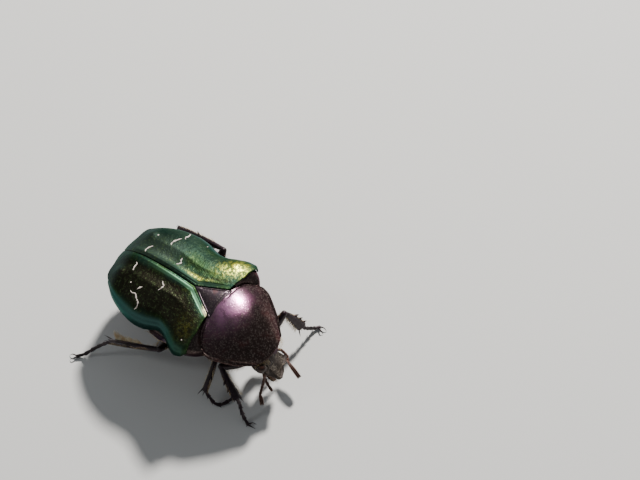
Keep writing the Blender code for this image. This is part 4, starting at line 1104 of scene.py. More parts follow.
@dataclass
class Pronotum:
    """Shield of the prothorax with the breast below it."""

    front_y: float = -5.4
    front_sweep: float = 0.65
    front_curve: float = 2.2
    base_y: float = 0.4
    hind_sweep: float = 1.25
    hind_curve: float = 3.2
    straight: float = 0.35
    run: Row = (0.0, 0.15, 0.275, 0.45, 0.6, 0.8, 0.92, 1.0)
    width: Smooth = Smooth(run, (1.95, 2.5, 2.95, 3.4, 3.75, 4.12, 4.17, 4.05))
    edge: Smooth = Smooth(run, (-3.0, -2.8, -2.65, -2.4, -2.15, -1.9, -1.75, -1.6))
    middle: Smooth = Smooth(run, (-2.65, -1.8, -1.2, -0.55, -0.2, 0.0, 0.03, 0.0))
    arch: float = 2.3
    deep: Smooth = Smooth(run, (1.75, 2.3, 2.6, 2.9, 3.05, 3.2, 3.3, 3.35))
    lower_arch: float = 1.35
    thickness: float = 0.2
    columns: int = 141
    rows: int = 121
    bead: Point = (0.07, 0.063, 0.055)
    groove: Point = (0.2, 0.07, -0.035)
    hind_groove: Point = (0.16, 0.07, -0.03)
    hind_groove_step: Span = (0.1, 0.3)
    breast_inset: float = 0.12
    breast_start: float = 0.03
    breast_tuck: float = 0.98
    breast_drop: float = 0.16
    breast_columns: int = 81
    breast_rows: int = 61
    hair_across: Span = (-0.97, 0.97)
    hair_along: Span = (0.06, 0.97)
    hair_density: Span = (18.0, 30.0)
    hair_step: Span = (0.3, 0.9)
    hair_lie: Point = (0.0, 0.8, -0.25)
    fringe_across: Span = (0.35, 0.97)
    fringe_place: Point = (0.0, 0.12, -0.2)
    fringe_facing: Point = (0.0, 0.6, -0.8)
    fringe_lie: Point = (0.0, -0.9, -0.6)
    fringe_width: float = 0.16
    fringe_density: float = 240.0

    def hind(self, x: Array | float) -> Array:
        """Return how far back the shield reaches at a distance from the middle."""
        u = np.minimum(np.abs(x) / self.width.y[-1], 1.0)
        beyond = np.maximum(u - self.straight, 0.0) / (1.0 - self.straight)
        return self.base_y - self.hind_sweep * beyond**self.hind_curve

    def plan(self, u: Array, v: Array) -> tuple[Array, Array]:
        """Return the plan position of a place on the shield."""
        front = self.front_y + self.front_sweep * np.abs(u)**self.front_curve
        hind = self.hind(u * self.width.y[-1])
        return u * self.width(v), front + (hind - front) * v

    def upper(self, u: Array, v: Array) -> Array:
        """Return points of the shield before its bead is raised."""
        x, y = self.plan(u, v)
        z = self.middle(v) - (self.middle(v) - self.edge(v)) * np.abs(u)**self.arch
        return np.stack([x, y, z], axis=-1)

    def lower(self, u: Array, v: Array) -> Array:
        """Return points of the under side of the prothorax."""
        x, y = self.plan(u, v)
        z = self.edge(v) - self.deep(v) * (1.0 - np.abs(u)**self.lower_arch)
        return np.stack([x, y, z], axis=-1)

    def shield(self) -> tuple[Array, Array]:
        """Return the grid of the shield with its side bead, and the marks for its finish."""
        u, v = np.meshgrid(spread(self.columns), ramp(self.rows))
        grid = self.upper(u, v)
        away = (1.0 - np.abs(u)) * self.width(v)
        behind = (1.0 - v) * (self.base_y - self.front_y)
        lift = bump(away, self.bead) + bump(away, self.groove)
        lift = lift + bump(behind, self.hind_groove) * rise(np.abs(u), *self.hind_groove_step)
        return grid + normals_of(grid) * lift[..., None], np.stack([u, v, np.zeros_like(u)], axis=-1)

    def build(self) -> tuple[Shape, Shape]:
        """Return the shield and the breast."""
        shield, breast = Shape(), Shape()
        grid, marks = self.shield()
        shield.shell(grid, self.thickness, marks)
        u, v = np.meshgrid(spread(self.breast_columns), np.linspace(self.breast_start, 1.0, self.breast_rows))
        low = self.lower(u, v)
        high = self.upper(u * self.breast_tuck, v) - np.array((0.0, 0.0, self.breast_drop))
        shrink = 1.0 - self.breast_inset / self.width(v)
        low[..., 0] *= shrink
        high[..., 0] *= shrink
        high[:, (0, -1)] = (high[:, (0, -1)] + low[:, (0, -1)]) / 2.0
        low[:, (0, -1)] = high[:, (0, -1)]
        breast.loft(ellipse_rings(high, low))
        return shield, breast

    def dress(self, looks: Looks, coat: Coat) -> None:
        """Make the pieces and let hair grow below the front margin and on the breast."""
        shield, breast = self.build()
        dress(shield.make("skin_pronotum"), looks.shield, "pronotum", "pronotum")
        dress(breast.make("skin_breast"), looks.body, "pronotum")
        u, v = lattice(self.hair_across, self.hair_along, 60, 30)
        low = self.lower(u, v)
        density = self.hair_density[0] + self.hair_density[1] * rise(np.abs(u), *self.hair_step)
        coat.cover(low, -normals_of(low), self.hair_lie, density)
        for side in (-1.0, 1.0):
            across = side * np.linspace(*self.fringe_across, 60)
            edge = self.upper(across, np.zeros(60)) + np.array(self.fringe_place)
            coat.strip(edge, np.array(self.fringe_facing), self.fringe_width, self.fringe_lie,
                       self.fringe_density)


@dataclass
class Scutellum:
    """Triangular plate between the wing cases."""

    half_width: float = 1.31
    tip_y: float = 2.95
    start_y: float = 0.7
    height: float = 0.05
    fall: float = 0.12
    thickness: float = 0.3
    base_y: float = 0.36
    overlap: float = 0.1
    least_half_width: float = 0.02
    front_dip: float = 0.05
    front_dip_step: Span = (0.75, 0.45)
    groove: Point = (0.12, 0.05, -0.03)
    groove_step: Span = (0.15, 0.5)

    def slope(self) -> float:
        """Return how much the half width shrinks for each millimetre toward the tip."""
        return self.half_width / (self.tip_y - self.start_y)

    def dress(self, looks: Looks) -> None:
        """Make the plate, a little sunk along its sides."""
        u, v = np.meshgrid(spread(61), ramp(81))
        y = self.base_y + (self.tip_y + self.overlap - self.base_y) * v
        half = np.maximum(self.slope() * (self.tip_y + self.overlap - y), self.least_half_width)
        z = self.height - self.fall * u * u * (1.0 - v) - self.front_dip * rise(y, *self.front_dip_step)
        z = z + bump((1.0 - np.abs(u)) * half, self.groove) * rise(half, *self.groove_step)
        shape = Shape()
        shape.shell(np.stack([u * half, y, z], axis=-1), self.thickness)
        dress(shape.make("skin_scutellum"), looks.scutellum, "scutellum", "scutellum")


# Wing cases


@dataclass
class WingCase:
    """The left wing case; the right one is its mirror image."""

    scutellum: Scutellum
    thickness: float = 0.16
    seam: float = 0.088
    scutellum_gap: float = 0.1
    base: tuple[Span, ...] = ((1.62, 0.6), (2.3, 0.54), (3.0, 0.42), (3.5, 0.35), (4.0, 0.35), (4.6, 0.26),
                              (5.12, 0.18))
    side: tuple[Span, ...] = ((5.12, 0.18), (5.43, 0.6), (5.47, 1.3), (5.18, 2.1), (4.68, 3.0), (4.46, 3.8),
                              (4.66, 4.6), (4.9, 5.4), (4.98, 6.3), (4.85, 7.3), (4.55, 8.4), (4.05, 9.5),
                              (3.35, 10.45))
    tip: tuple[Span, ...] = ((3.35, 10.45), (2.85, 10.85), (2.3, 11.02), (1.7, 11.1), (1.1, 11.27),
                             (0.6, 11.38), (0.09, 11.36))
    base_line: Path = Path(base)
    side_line: Path = Path(side)
    tip_line: Path = Path(tip)
    width: Smooth = Smooth([p[1] for p in side], [p[0] for p in side])
    suture: Smooth = Smooth((0.74, 2.0, 3.0, 5.0, 7.0, 8.5, 9.5, 10.3, 10.9, 11.4),
                            (0.0, 0.05, 0.06, 0.0, -0.25, -0.6, -1.02, -1.5, -2.0, -2.62))
    edge: Smooth = Smooth((0.2, 0.9, 2.0, 3.0, 3.8, 4.6, 5.4, 7.3, 9.6, 10.5, 11.4),
                          (-1.5, -2.2, -2.7, -2.55, -2.45, -2.75, -3.05, -3.2, -3.2, -3.1, -2.7))
    squareness: float = 2.7
    ridge: Point = (0.37, 0.25, 0.14)
    trough: Point = (1.15, 0.55, -0.12)
    growth: Smooth = Smooth((2.6, 4.5, 9.0, 10.8), (0.0, 0.7, 1.0, 0.0))
    ribs: Line = ((0.4, 0.045, 0.03), (0.62, 0.045, 0.022))
    rib_start: Span = (1.5, 3.5)
    rib_end: Span = (9.8, 8.0)
    tip_bump: Scale = (2.35, 9.9, 0.55, 0.26)
    shoulder_bump: Scale = (4.05, 1.75, 0.6, 0.1)
    edge_reach: float = 4.5
    edge_bead: Point = (0.07, 0.07, 0.03)
    edge_groove: Point = (0.22, 0.08, -0.02)
    edge_step: Span = (0.03, 0.1)
    columns: int = 121
    rows: int = 181

    def inner(self, y: Array) -> Array:
        """Return where the inner edge lies beside the scutellum or at the suture."""
        slope = self.scutellum.slope()
        gap = (self.seam + self.scutellum_gap) * math.hypot(1.0, slope)
        return np.maximum(self.seam, slope * (self.scutellum.tip_y - y) + gap)

    def plan(self, u: Array, v: Array) -> Array:
        """Return the plan position of a place by blending the four edges."""
        y = self.base[0][1] + (self.tip[-1][1] - self.base[0][1]) * v
        inner = np.stack([self.inner(y), y], axis=-1)
        corners = [np.array(p) for p in (self.base[0], self.base[-1], self.tip[-1], self.tip[0])]
        corners[0] = np.array((float(self.inner(np.array(self.base[0][1]))), self.base[0][1]))
        start = self.base_line(u)
        start = start + (corners[0] - np.array(self.base[0])) * (1.0 - u[..., None])
        u, v = u[..., None], v[..., None]
        return ((1 - u) * inner + u * self.side_line(v[..., 0]) + (1 - v) * start
                + v * self.tip_line(1.0 - u[..., 0]) - (1 - u) * (1 - v) * corners[0]
                - u * (1 - v) * corners[1] - (1 - u) * v * corners[2] - u * v * corners[3])

    def surface(self, u: Array, v: Array) -> Array:
        """Return points of the outer surface, with its ribs, bumps and edge bead."""
        place = self.plan(u, v)
        x, y = place[..., 0], place[..., 1]
        high = self.suture(y)
        z = high - (high - self.edge(y)) * squarish(u, self.squareness)
        for wave in (self.ridge, self.trough):
            z = z + bump(x, wave) * self.growth(y)
        for rib in self.ribs:
            z = z + bump(u, rib) * rise(y, *self.rib_start) * rise(y, *self.rib_end)
        for centre_x, centre_y, width, lift in (self.tip_bump, self.shoulder_bump):
            z = z + lift * bell(x, centre_x, width) * bell(y, centre_y, width)
        return np.stack([x, y, z], axis=-1)

    def grid(self) -> tuple[Array, Array]:
        """Return the outer grid and the marks for the finish."""
        u, v = np.meshgrid((spread(self.columns) + 1.0) / 2.0, ramp(self.rows))
        grid = self.surface(u, v)
        away = (1.0 - u) * self.edge_reach
        lift = bump(away, self.edge_bead) + bump(away, self.edge_groove)
        grid = grid + normals_of(grid) * (lift * rise(v, *self.edge_step))[..., None]
        return grid, np.stack([u, v, np.ones_like(u)], axis=-1)

    def dress(self, looks: Looks) -> dict[Side, BVHTree]:
        """Make both wing cases.

        Returns:
            A search tree of each outer surface, in millimetres, for what lies on it.
        """
        grid, marks = self.grid()
        left = Shape()
        left.shell(grid, self.thickness, marks)
        right = left.mirror()
        dress(left.make("skin_elytron_left"), looks.wing, "elytron", "elytron_left")
        dress(right.make("skin_elytron_right"), looks.wing, "elytron", "elytron_right")
        faces = grid_faces(self.rows, self.columns)
        flat = grid.reshape(-1, 3)
        other = flat * MIRROR
        return {Side.LEFT: BVHTree.FromPolygons(flat.tolist(), faces),
                Side.RIGHT: BVHTree.FromPolygons(other.tolist(), [tuple(reversed(f)) for f in faces])}


@dataclass
class Marks:
    """Chalky marks on the wing cases, each a wavy line in plan or a single fleck."""

    left: tuple[tuple[Span, ...], ...] = (
        ((0.36, 9.06), (0.66, 9.2), (0.97, 9.15), (1.27, 8.91)),
        ((2.11, 7.51), (2.35, 7.64), (2.59, 7.61), (2.87, 7.48), (3.28, 7.26)),
        ((3.41, 6.97), (3.64, 7.1), (3.88, 7.01), (4.36, 7.14)),
        ((2.38, 9.29), (2.52, 9.27)),
        ((1.59, 5.82), (1.32, 5.77), (1.18, 5.62), (1.01, 5.68), (0.79, 5.89)),
        ((4.06, 5.04), (4.16, 5.05)),
    )
    right: tuple[tuple[Span, ...], ...] = (
        ((-0.86, 9.07), (-1.02, 8.92), (-1.24, 8.94), (-1.7, 8.78)),
        ((-2.74, 8.16), (-2.84, 8.14)),
        ((-3.08, 7.23), (-2.84, 7.12), (-2.63, 6.93)),
        ((-1.23, 5.78), (-1.42, 5.62), (-1.52, 5.4), (-1.9, 5.43), (-2.18, 5.52)),
        ((-3.41, 7.7), (-3.5, 7.45), (-3.43, 7.17), (-3.7, 6.81), (-3.8, 6.65), (-3.89, 6.49), (-4.29, 6.33),
         (-4.48, 6.46)),
        ((-4.61, 0.94), (-4.63, 1.04)),
    )
    rear: tuple[tuple[Span, ...], ...] = (
        ((1.75, -3.3), (1.95, -3.45), (2.1, -3.7)),
        ((-1.75, -3.3), (-1.95, -3.45), (-2.1, -3.7)),
        ((0.8, -4.6), (0.95, -4.75)),
        ((-0.8, -4.6), (-0.95, -4.75)),
    )
    half_width: float = 0.047
    lift: float = 0.012
    thickness: float = 0.02
    crown: float = 0.5
    step: float = 0.02
    least_rows: int = 8
    columns: int = 7
    ends: Span = (0.04, 0.92)
    wave_scale: float = 9.0
    wave_amount: float = 0.6
    seed_step: float = 1.7
    rear_seed_step: float = 2.3
    above: float = 5.0
    behind: float = 20.0

    def land(self, plan: Array, tree: BVHTree, from_behind: bool) -> tuple[Array, Array]:
        """Return the place and the outward normal under a point of the plan or of the view from behind."""
        start, way = Vector((*plan, self.above)), Vector((0.0, 0.0, -1.0))
        if from_behind:
            start, way = Vector((plan[0], self.behind, plan[1])), Vector((0.0, -1.0, 0.0))
        hit, normal, _, _ = tree.ray_cast(start, way)
        return np.array(hit), np.array(normal if normal.dot(way) < 0.0 else -normal)

    def ribbon(self, shape: Shape, line: Sequence[Span], tree: BVHTree, seed: float,
               from_behind: bool = False) -> None:
        """Lay one mark on the shell.

        Args:
            shape: shape that the mark is added to.
            line: points of its middle line.
            tree: surface that it lies on.
            seed: changes how uneven its edges are.
            from_behind: whether the line is given across and up, as seen from behind, and not in plan.
        """
        path = Path(line)
        count = max(int(path.length / self.step), self.least_rows)
        t = ramp(count)
        centre = path(t)
        ahead = unit(np.gradient(centre, axis=0))
        aside = np.stack([-ahead[:, 1], ahead[:, 0]], axis=-1)
        wave = uneven(np.concatenate([centre, np.zeros((count, 1))], axis=1), self.wave_scale, seed)
        round_ends = np.sqrt(np.clip(hump(t, *self.ends), 0.0, 1.0))
        half = self.half_width * (1.0 + self.wave_amount * wave) * round_ends
        across = np.linspace(-1.0, 1.0, self.columns)
        plan = centre[:, None] + aside[:, None] * (half[:, None] * across[None])[..., None]
        height = self.lift + self.thickness * (1.0 - self.crown * across**2)
        grid, out = np.zeros((count, self.columns, 3)), np.zeros((count, self.columns, 3))
        for j, i in np.ndindex(count, self.columns):
            hit, out[j, i] = self.land(plan[j, i], tree, from_behind)
            grid[j, i] = hit + out[j, i] * height[i]
        if float(np.sum(normals_of(grid) * out)) < 0.0:
            grid = grid[:, ::-1]
        shape.shell(grid, self.thickness + self.lift, rim=3)

    def dress(self, looks: Looks, trees: dict[Side, BVHTree]) -> None:
        """Make the marks of both wing cases as one piece."""
        shape = Shape()
        for side, lines in ((Side.LEFT, self.left), (Side.RIGHT, self.right)):
            for index, line in enumerate(lines):
                self.ribbon(shape, line, trees[side], index * self.seed_step + side.value)
        dress(shape.make("skin_marks"), looks.mark, "elytron")

    def dress_rear(self, looks: Looks, plate: Array) -> None:
        """Make the marks of the last plate.

        Args:
            looks: the finishes.
            plate: grid of the plate's outer surface.
        """
        tree = BVHTree.FromPolygons(plate.reshape(-1, 3).tolist(), grid_faces(*plate.shape[:2]))
        shape = Shape()
        for index, line in enumerate(self.rear):
            self.ribbon(shape, line, tree, index * self.rear_seed_step, from_behind=True)
        dress(shape.make("skin_rear_marks"), looks.mark, "pygidium")


# Thorax, abdomen and last plate


@dataclass
class Pygidium:
    """Last plate of the abdomen, facing rearward, its sides wrapped forward."""

    bottom: float
    top: float = -2.25
    y: float = 11.0
    half_width: float = 3.1
    narrowing: float = 0.42
    narrowing_curve: float = 2.2
    side_fall: float = 0.45
    corner_lift: float = 0.6
    wrap: float = 0.85
    wrap_curve: float = 2.6
    tuck: float = 0.75
    tuck_step: Span = (0.3, 0.0)
    lean: float = 0.6
    bulge: float = 0.42
    bulge_run: Span = (0.1, 0.75)
    ridge: Point = (0.0, 0.1, 0.05)
    ridge_step: Span = (0.1, 0.3)
    thickness: float = 0.3
    size: int = 81
    hair_lie: Point = (0.0, 0.25, -1.0)
    hair_density: float = 7.0

    def grid(self) -> Array:
        """Return the grid of its outer surface."""
        u, v = np.meshgrid(spread(self.size), ramp(self.size))
        half = self.half_width * (1.0 - self.narrowing * v**self.narrowing_curve)
        z = self.top + (self.bottom - self.top) * v
        z = z - self.side_fall * u * u * (1.0 - v) + self.corner_lift * np.abs(u)**3 * v
        y = self.y - self.wrap * np.abs(u)**self.wrap_curve
        y = y - self.tuck * rise(v, *self.tuck_step) - self.lean * v**3
        bulge = self.bulge * (1.0 - u * u) * hump(v, *self.bulge_run)
        ridge = bump(u, self.ridge) * rise(v, *self.ridge_step)
        return np.stack([u * half, y + bulge + ridge, z], axis=-1)

    def dress(self, looks: Looks, coat: Coat) -> None:
        """Make the plate and let hair grow on it."""
        plate = self.grid()
        shape = Shape()
        shape.shell(plate, self.thickness)
        dress(shape.make("skin_pygidium"), looks.body, "pygidium", "pygidium")
        coat.cover(plate, normals_of(plate), self.hair_lie, self.hair_density)


@dataclass
class Trunk:
    """Thorax under the wing cases, with its side plates, and the abdomen behind it."""

    pronotum: Pronotum
    wing: WingCase
    columns: int = 97
    start_gap: float = 0.02
    thorax_end_y: float = 4.85
    thorax_rows: tuple[tuple[float, float, int], ...] = ((0.0, 0.71, 45), (0.72, 0.76, 6), (0.78, 1.0, 15))
    front_half_width: float = 3.65
    widens_y: float = 1.6
    clearance: float = 0.62
    drop: float = 0.15
    squareness: float = 2.4
    flank_z: float = -3.55
    flank_thickness: float = 0.3
    flank: Smooth = Smooth((-0.9, 0.6, 2.0, 3.5, 4.7, 6.0, 7.5, 9.0, 10.0, 10.6),
                           (3.4, 4.1, 4.5, 4.58, 4.5, 4.4, 4.2, 3.75, 3.25, 2.9))
    belly: Smooth = Smooth((-0.5, 0.7, 1.6, 3.0, 5.0, 7.0, 9.0, 10.0, 10.8),
                           (-5.0, -5.75, -6.5, -6.75, -6.7, -6.6, -6.35, -6.1, -5.8))
    fraction: Row = (0.0, 0.2, 0.35, 0.5, 0.65, 0.8, 0.92, 1.0)
    thorax_fall: Smooth = Smooth(fraction, (1.0, 0.985, 0.92, 0.77, 0.575, 0.36, 0.17, 0.0))
    abdomen_fall: Smooth = Smooth(fraction, (1.0, 0.99, 0.955, 0.88, 0.76, 0.58, 0.36, 0.0))
    hip_plate_edge: Span = (3.45, 3.58)
    hip_plate_step: float = 0.12
    midline: Point = (0.0, 0.07, 0.1)
    midline_start: Span = (1.9, 2.4)
    midline_end: Span = (3.5, 3.2)
    hip_seam: Point = (0.0, 0.09, 0.07)
    hip_seam_line: Span = (0.55, 0.5)
    hip_seam_step: Span = (0.4, 0.8)
    ease: float = 2.5
    plate_ends: Row = (6.1, 7.2, 8.3, 9.3, 10.45)
    plate_rows: Row = (0.0, 0.03, 0.08, 0.2, 0.35, 0.5, 0.65, 0.8, 0.9, 0.95, 0.98, 1.0)
    plate_gap: float = 0.015
    plate_step: float = 0.11
    plate_curve: float = 0.7
    plate_lip: float = 0.55
    plate_lip_step: Span = (0.9, 1.0)
    pygidium_gap: float = 0.05
    side_across: Row = (2.3, 2.9, 3.4, 3.8, 4.03)
    side_gap: float = 0.02
    side_sink: float = 0.06
    side_front: Line = ((4.0, -0.82, -2.2), (3.75, -0.75, -2.9), (3.35, -0.6, -3.6))
    side_rear: Line = ((2.3, 0.62, -0.12), (3.0, 0.55, -0.2), (3.6, 0.48, -0.32), (4.1, 0.42, -0.52),
                       (4.65, 0.36, -0.95), (5.08, 0.42, -1.7), (5.06, 0.8, -2.35), (4.55, 1.1, -3.3))
    side_rows: int = 70
    side_columns: int = 30
    side_bulge: float = 0.16
    side_bulge_step: Span = (0.0, 0.4)
    side_thickness: float = 0.3
    strip: Line = ((4.05, 2.75, -2.95), (4.3, 3.4, -2.85), (4.32, 4.1, -2.9), (4.25, 4.9, -3.1))
    strip_half: Span = (0.05, 0.3)
    strip_run: Span = (0.1, 0.8)
    strip_flatness: float = 0.7
    waist_place: Point = (0.0, 0.1, -2.9)
    waist_size: Point = (3.3, 1.3, 2.3)
    knob: Line = ((0.0, 1.9, -6.45), (0.0, 1.1, -6.45), (0.0, 0.45, -6.25), (0.0, 0.1, -5.95))
    knob_half: float = 0.2
    knob_bump: Point = (0.72, 0.25, 0.28)
    knob_flatness: float = 0.75
    thorax_lie: Point = (0.0, 1.0, -0.15)
    thorax_hair: Point = (3.0, 42.0, 12.0)
    thorax_hair_side: Span = (1.8, 3.4)
    thorax_hair_front: Span = (1.5, 0.6)
    abdomen_lie: Point = (0.0, 1.0, -0.05)
    abdomen_hair: Span = (2.0, 18.0)
    abdomen_hair_side: Span = (2.0, 3.6)

    def __post_init__(self) -> None:
        self.pygidium = Pygidium(float(self.belly(self.plate_ends[-1])) + self.pygidium_gap)

    def section(self, y: Array, u: Array, fall: Array, step: Array) -> tuple[Array, Array]:
        """Return points of the upper and the lower side; the lower one hangs by a share and stands out."""
        half = self.wing.width(np.maximum(y, self.widens_y)) - self.clearance
        narrow = self.front_half_width + (half - self.front_half_width) * np.maximum(y, 0.0) / self.widens_y
        half = np.where(y < self.widens_y, narrow, half)
        high = self.wing.suture(np.maximum(y, self.wing.suture.x[0])) - self.clearance - self.drop
        top = high - (high - self.flank_z - self.flank_thickness) * squarish(u, self.squareness)
        bottom = self.flank_z + (self.belly(y) - step - self.flank_z) * fall
        upper = np.stack([u * half, y, top], axis=-1)
        return upper, np.stack([u * (self.flank(y) + step), y, bottom], axis=-1)

    def thorax(self) -> tuple[Array, Array]:
        """Return the upper and lower grid of the thorax."""
        rows = np.concatenate([np.linspace(*part) for part in self.thorax_rows])
        u, v = np.meshgrid(spread(self.columns), rows)
        start = self.pronotum.hind(u * self.front_half_width) + self.start_gap
        y = start + (self.thorax_end_y - start) * v
        step = self.hip_plate_step * rise(y, *self.hip_plate_edge)
        upper, lower = self.section(y, u, self.thorax_fall(np.abs(u)), step)
        x = np.abs(lower[..., 0])
        lower[..., 2] += bump(x, self.midline) * rise(y, *self.midline_start) * rise(y, *self.midline_end)
        seam = self.hip_seam_line[0] + self.hip_seam_line[1] * x
        lower[..., 2] += bump(y - seam, self.hip_seam) * rise(x, *self.hip_seam_step)
        return upper, lower

    def abdomen(self) -> tuple[Array, Array]:
        """Return the upper and lower grid of the abdomen, stepped at each belly plate."""
        start = self.thorax_end_y + 0.01
        t = np.array(self.plate_rows)
        rows = [first + (end - self.plate_gap - first) * t
                for first, end in zip((start, *self.plate_ends[:-1]), self.plate_ends)]
        u, y = np.meshgrid(spread(self.columns), np.concatenate(rows))
        lip = self.plate_lip * rise(t, *self.plate_lip_step)
        step = np.tile(self.plate_step * (t**self.plate_curve - lip), len(self.plate_ends))
        step = np.repeat(step[:, None], self.columns, axis=1)
        share = np.minimum((y - start) / self.ease, 1.0)
        fall = self.thorax_fall(np.abs(u)) * (1.0 - share) + self.abdomen_fall(np.abs(u)) * share
        return self.section(y, u, fall, step)

    def side_grid(self) -> Array:
        """Return the outer face of the plate between the prothorax and the left shoulder."""
        shield = self.pronotum
        front = [(x, float(shield.hind(x)) + self.side_gap,
                  shield.edge.y[-1] * (x / shield.width.y[-1])**shield.arch - self.side_sink)
                 for x in self.side_across]
        s, t = ramp(self.side_rows), ramp(self.side_columns)
        first, last = Path((*front, *self.side_front))(s)[:, None], Path(self.side_rear)(s)[:, None]
        grid = first + (last - first) * t[None, :, None]
        out = normals_of(grid)
        if out[self.side_rows // 2, self.side_columns // 2, 0] < 0.0:
            out = -out
        bulge = self.side_bulge * hump(t)[None, :] * rise(s, *self.side_bulge_step)[:, None]
        grid = grid + out * bulge[..., None]
        if normals_of(grid)[self.side_rows // 2, self.side_columns // 2, 0] < 0.0:
            grid = grid[:, ::-1]
        return grid

    def side_plates(self) -> Shape:
        """Return the plates before both shoulders."""
        left = Shape()
        left.shell(self.side_grid(), self.side_thickness)
        plates = left.mirror()
        plates.add(left.points[0], left.faces, left.marks[0])
        return plates

    def side_strips(self) -> Shape:
        """Return the rounded strips in the hollows of both sides."""
        strips = Shape()
        t = ramp(30)
        half = self.strip_half[0] + self.strip_half[1] * hump(t, *self.strip_run)
        for side in Side:
            line = Path(np.array(self.strip) * (side.value, 1.0, 1.0))
            strips.sweep(line(t), half, half * self.strip_flatness)
        return strips

    def waist(self) -> Shape:
        """Return the dark skin between the prothorax and the body behind it."""
        shape = Shape()
        shape.ball(self.waist_place, self.waist_size)
        return shape

    def breast_knob(self) -> Shape:
        """Return the knob of the breast, which points forward between the middle legs."""
        shape = Shape()
        t = ramp(24)
        half = self.knob_half + bump(t, self.knob_bump)
        shape.sweep(Path(self.knob)(t), half, half * self.knob_flatness, (1.0, 0.0, 0.0), 28, (0.8, 0.9))
        return shape

    def dress(self, looks: Looks, coat: Coat) -> None:
        """Make the pieces and let hair grow on the under side."""
        high, low = self.thorax()
        thorax, abdomen = Shape(), Shape()
        thorax.loft(ellipse_rings(high, low))
        dress(thorax.make("skin_thorax"), looks.body, "thorax", "thorax")
        skin = low[4:, 3:-3]
        least, at_sides, in_front = self.thorax_hair
        density = (least + at_sides * rise(np.abs(skin[..., 0]), *self.thorax_hair_side)
                   + in_front * rise(skin[..., 1], *self.thorax_hair_front))
        coat.cover(skin, -normals_of(skin), self.thorax_lie, density)
        high, low = self.abdomen()
        abdomen.loft(ellipse_rings(high, low))
        dress(abdomen.make("skin_abdomen"), looks.body, "abdomen", "abdomen")
        skin = low[2:, 3:-3]
        least, at_sides = self.abdomen_hair
        density = least + at_sides * rise(np.abs(skin[..., 0]), *self.abdomen_hair_side)
        coat.cover(skin, -normals_of(skin), self.abdomen_lie, density)
        self.pygidium.dress(looks, coat)
        dress(self.side_plates().make("skin_side_plates"), looks.gloss, "thorax")
        dress(self.side_strips().make("skin_side_strips"), looks.gloss, "thorax")
        dress(self.waist().make("skin_waist"), looks.body, "thorax")
        dress(self.breast_knob().make("skin_breast_knob"), looks.body, "thorax")


# Head


@dataclass(frozen=True)
class Segment:
    """One joint of a feeler or palp, thickest somewhere between its ends."""

    radius: float
    swell: float
    run: Span
    rows: int = 8
    sides: int = 14

    def add(self, shape: Shape, path: Path, start: float, end: float, slim: float = 1.0) -> None:
        """Add the joint between two shares of a line."""
        t = ramp(self.rows)
        size = (self.radius + self.swell * hump(t, *self.run)) * slim
        shape.sweep(path(start + (end - start) * t), size, sides=self.sides)


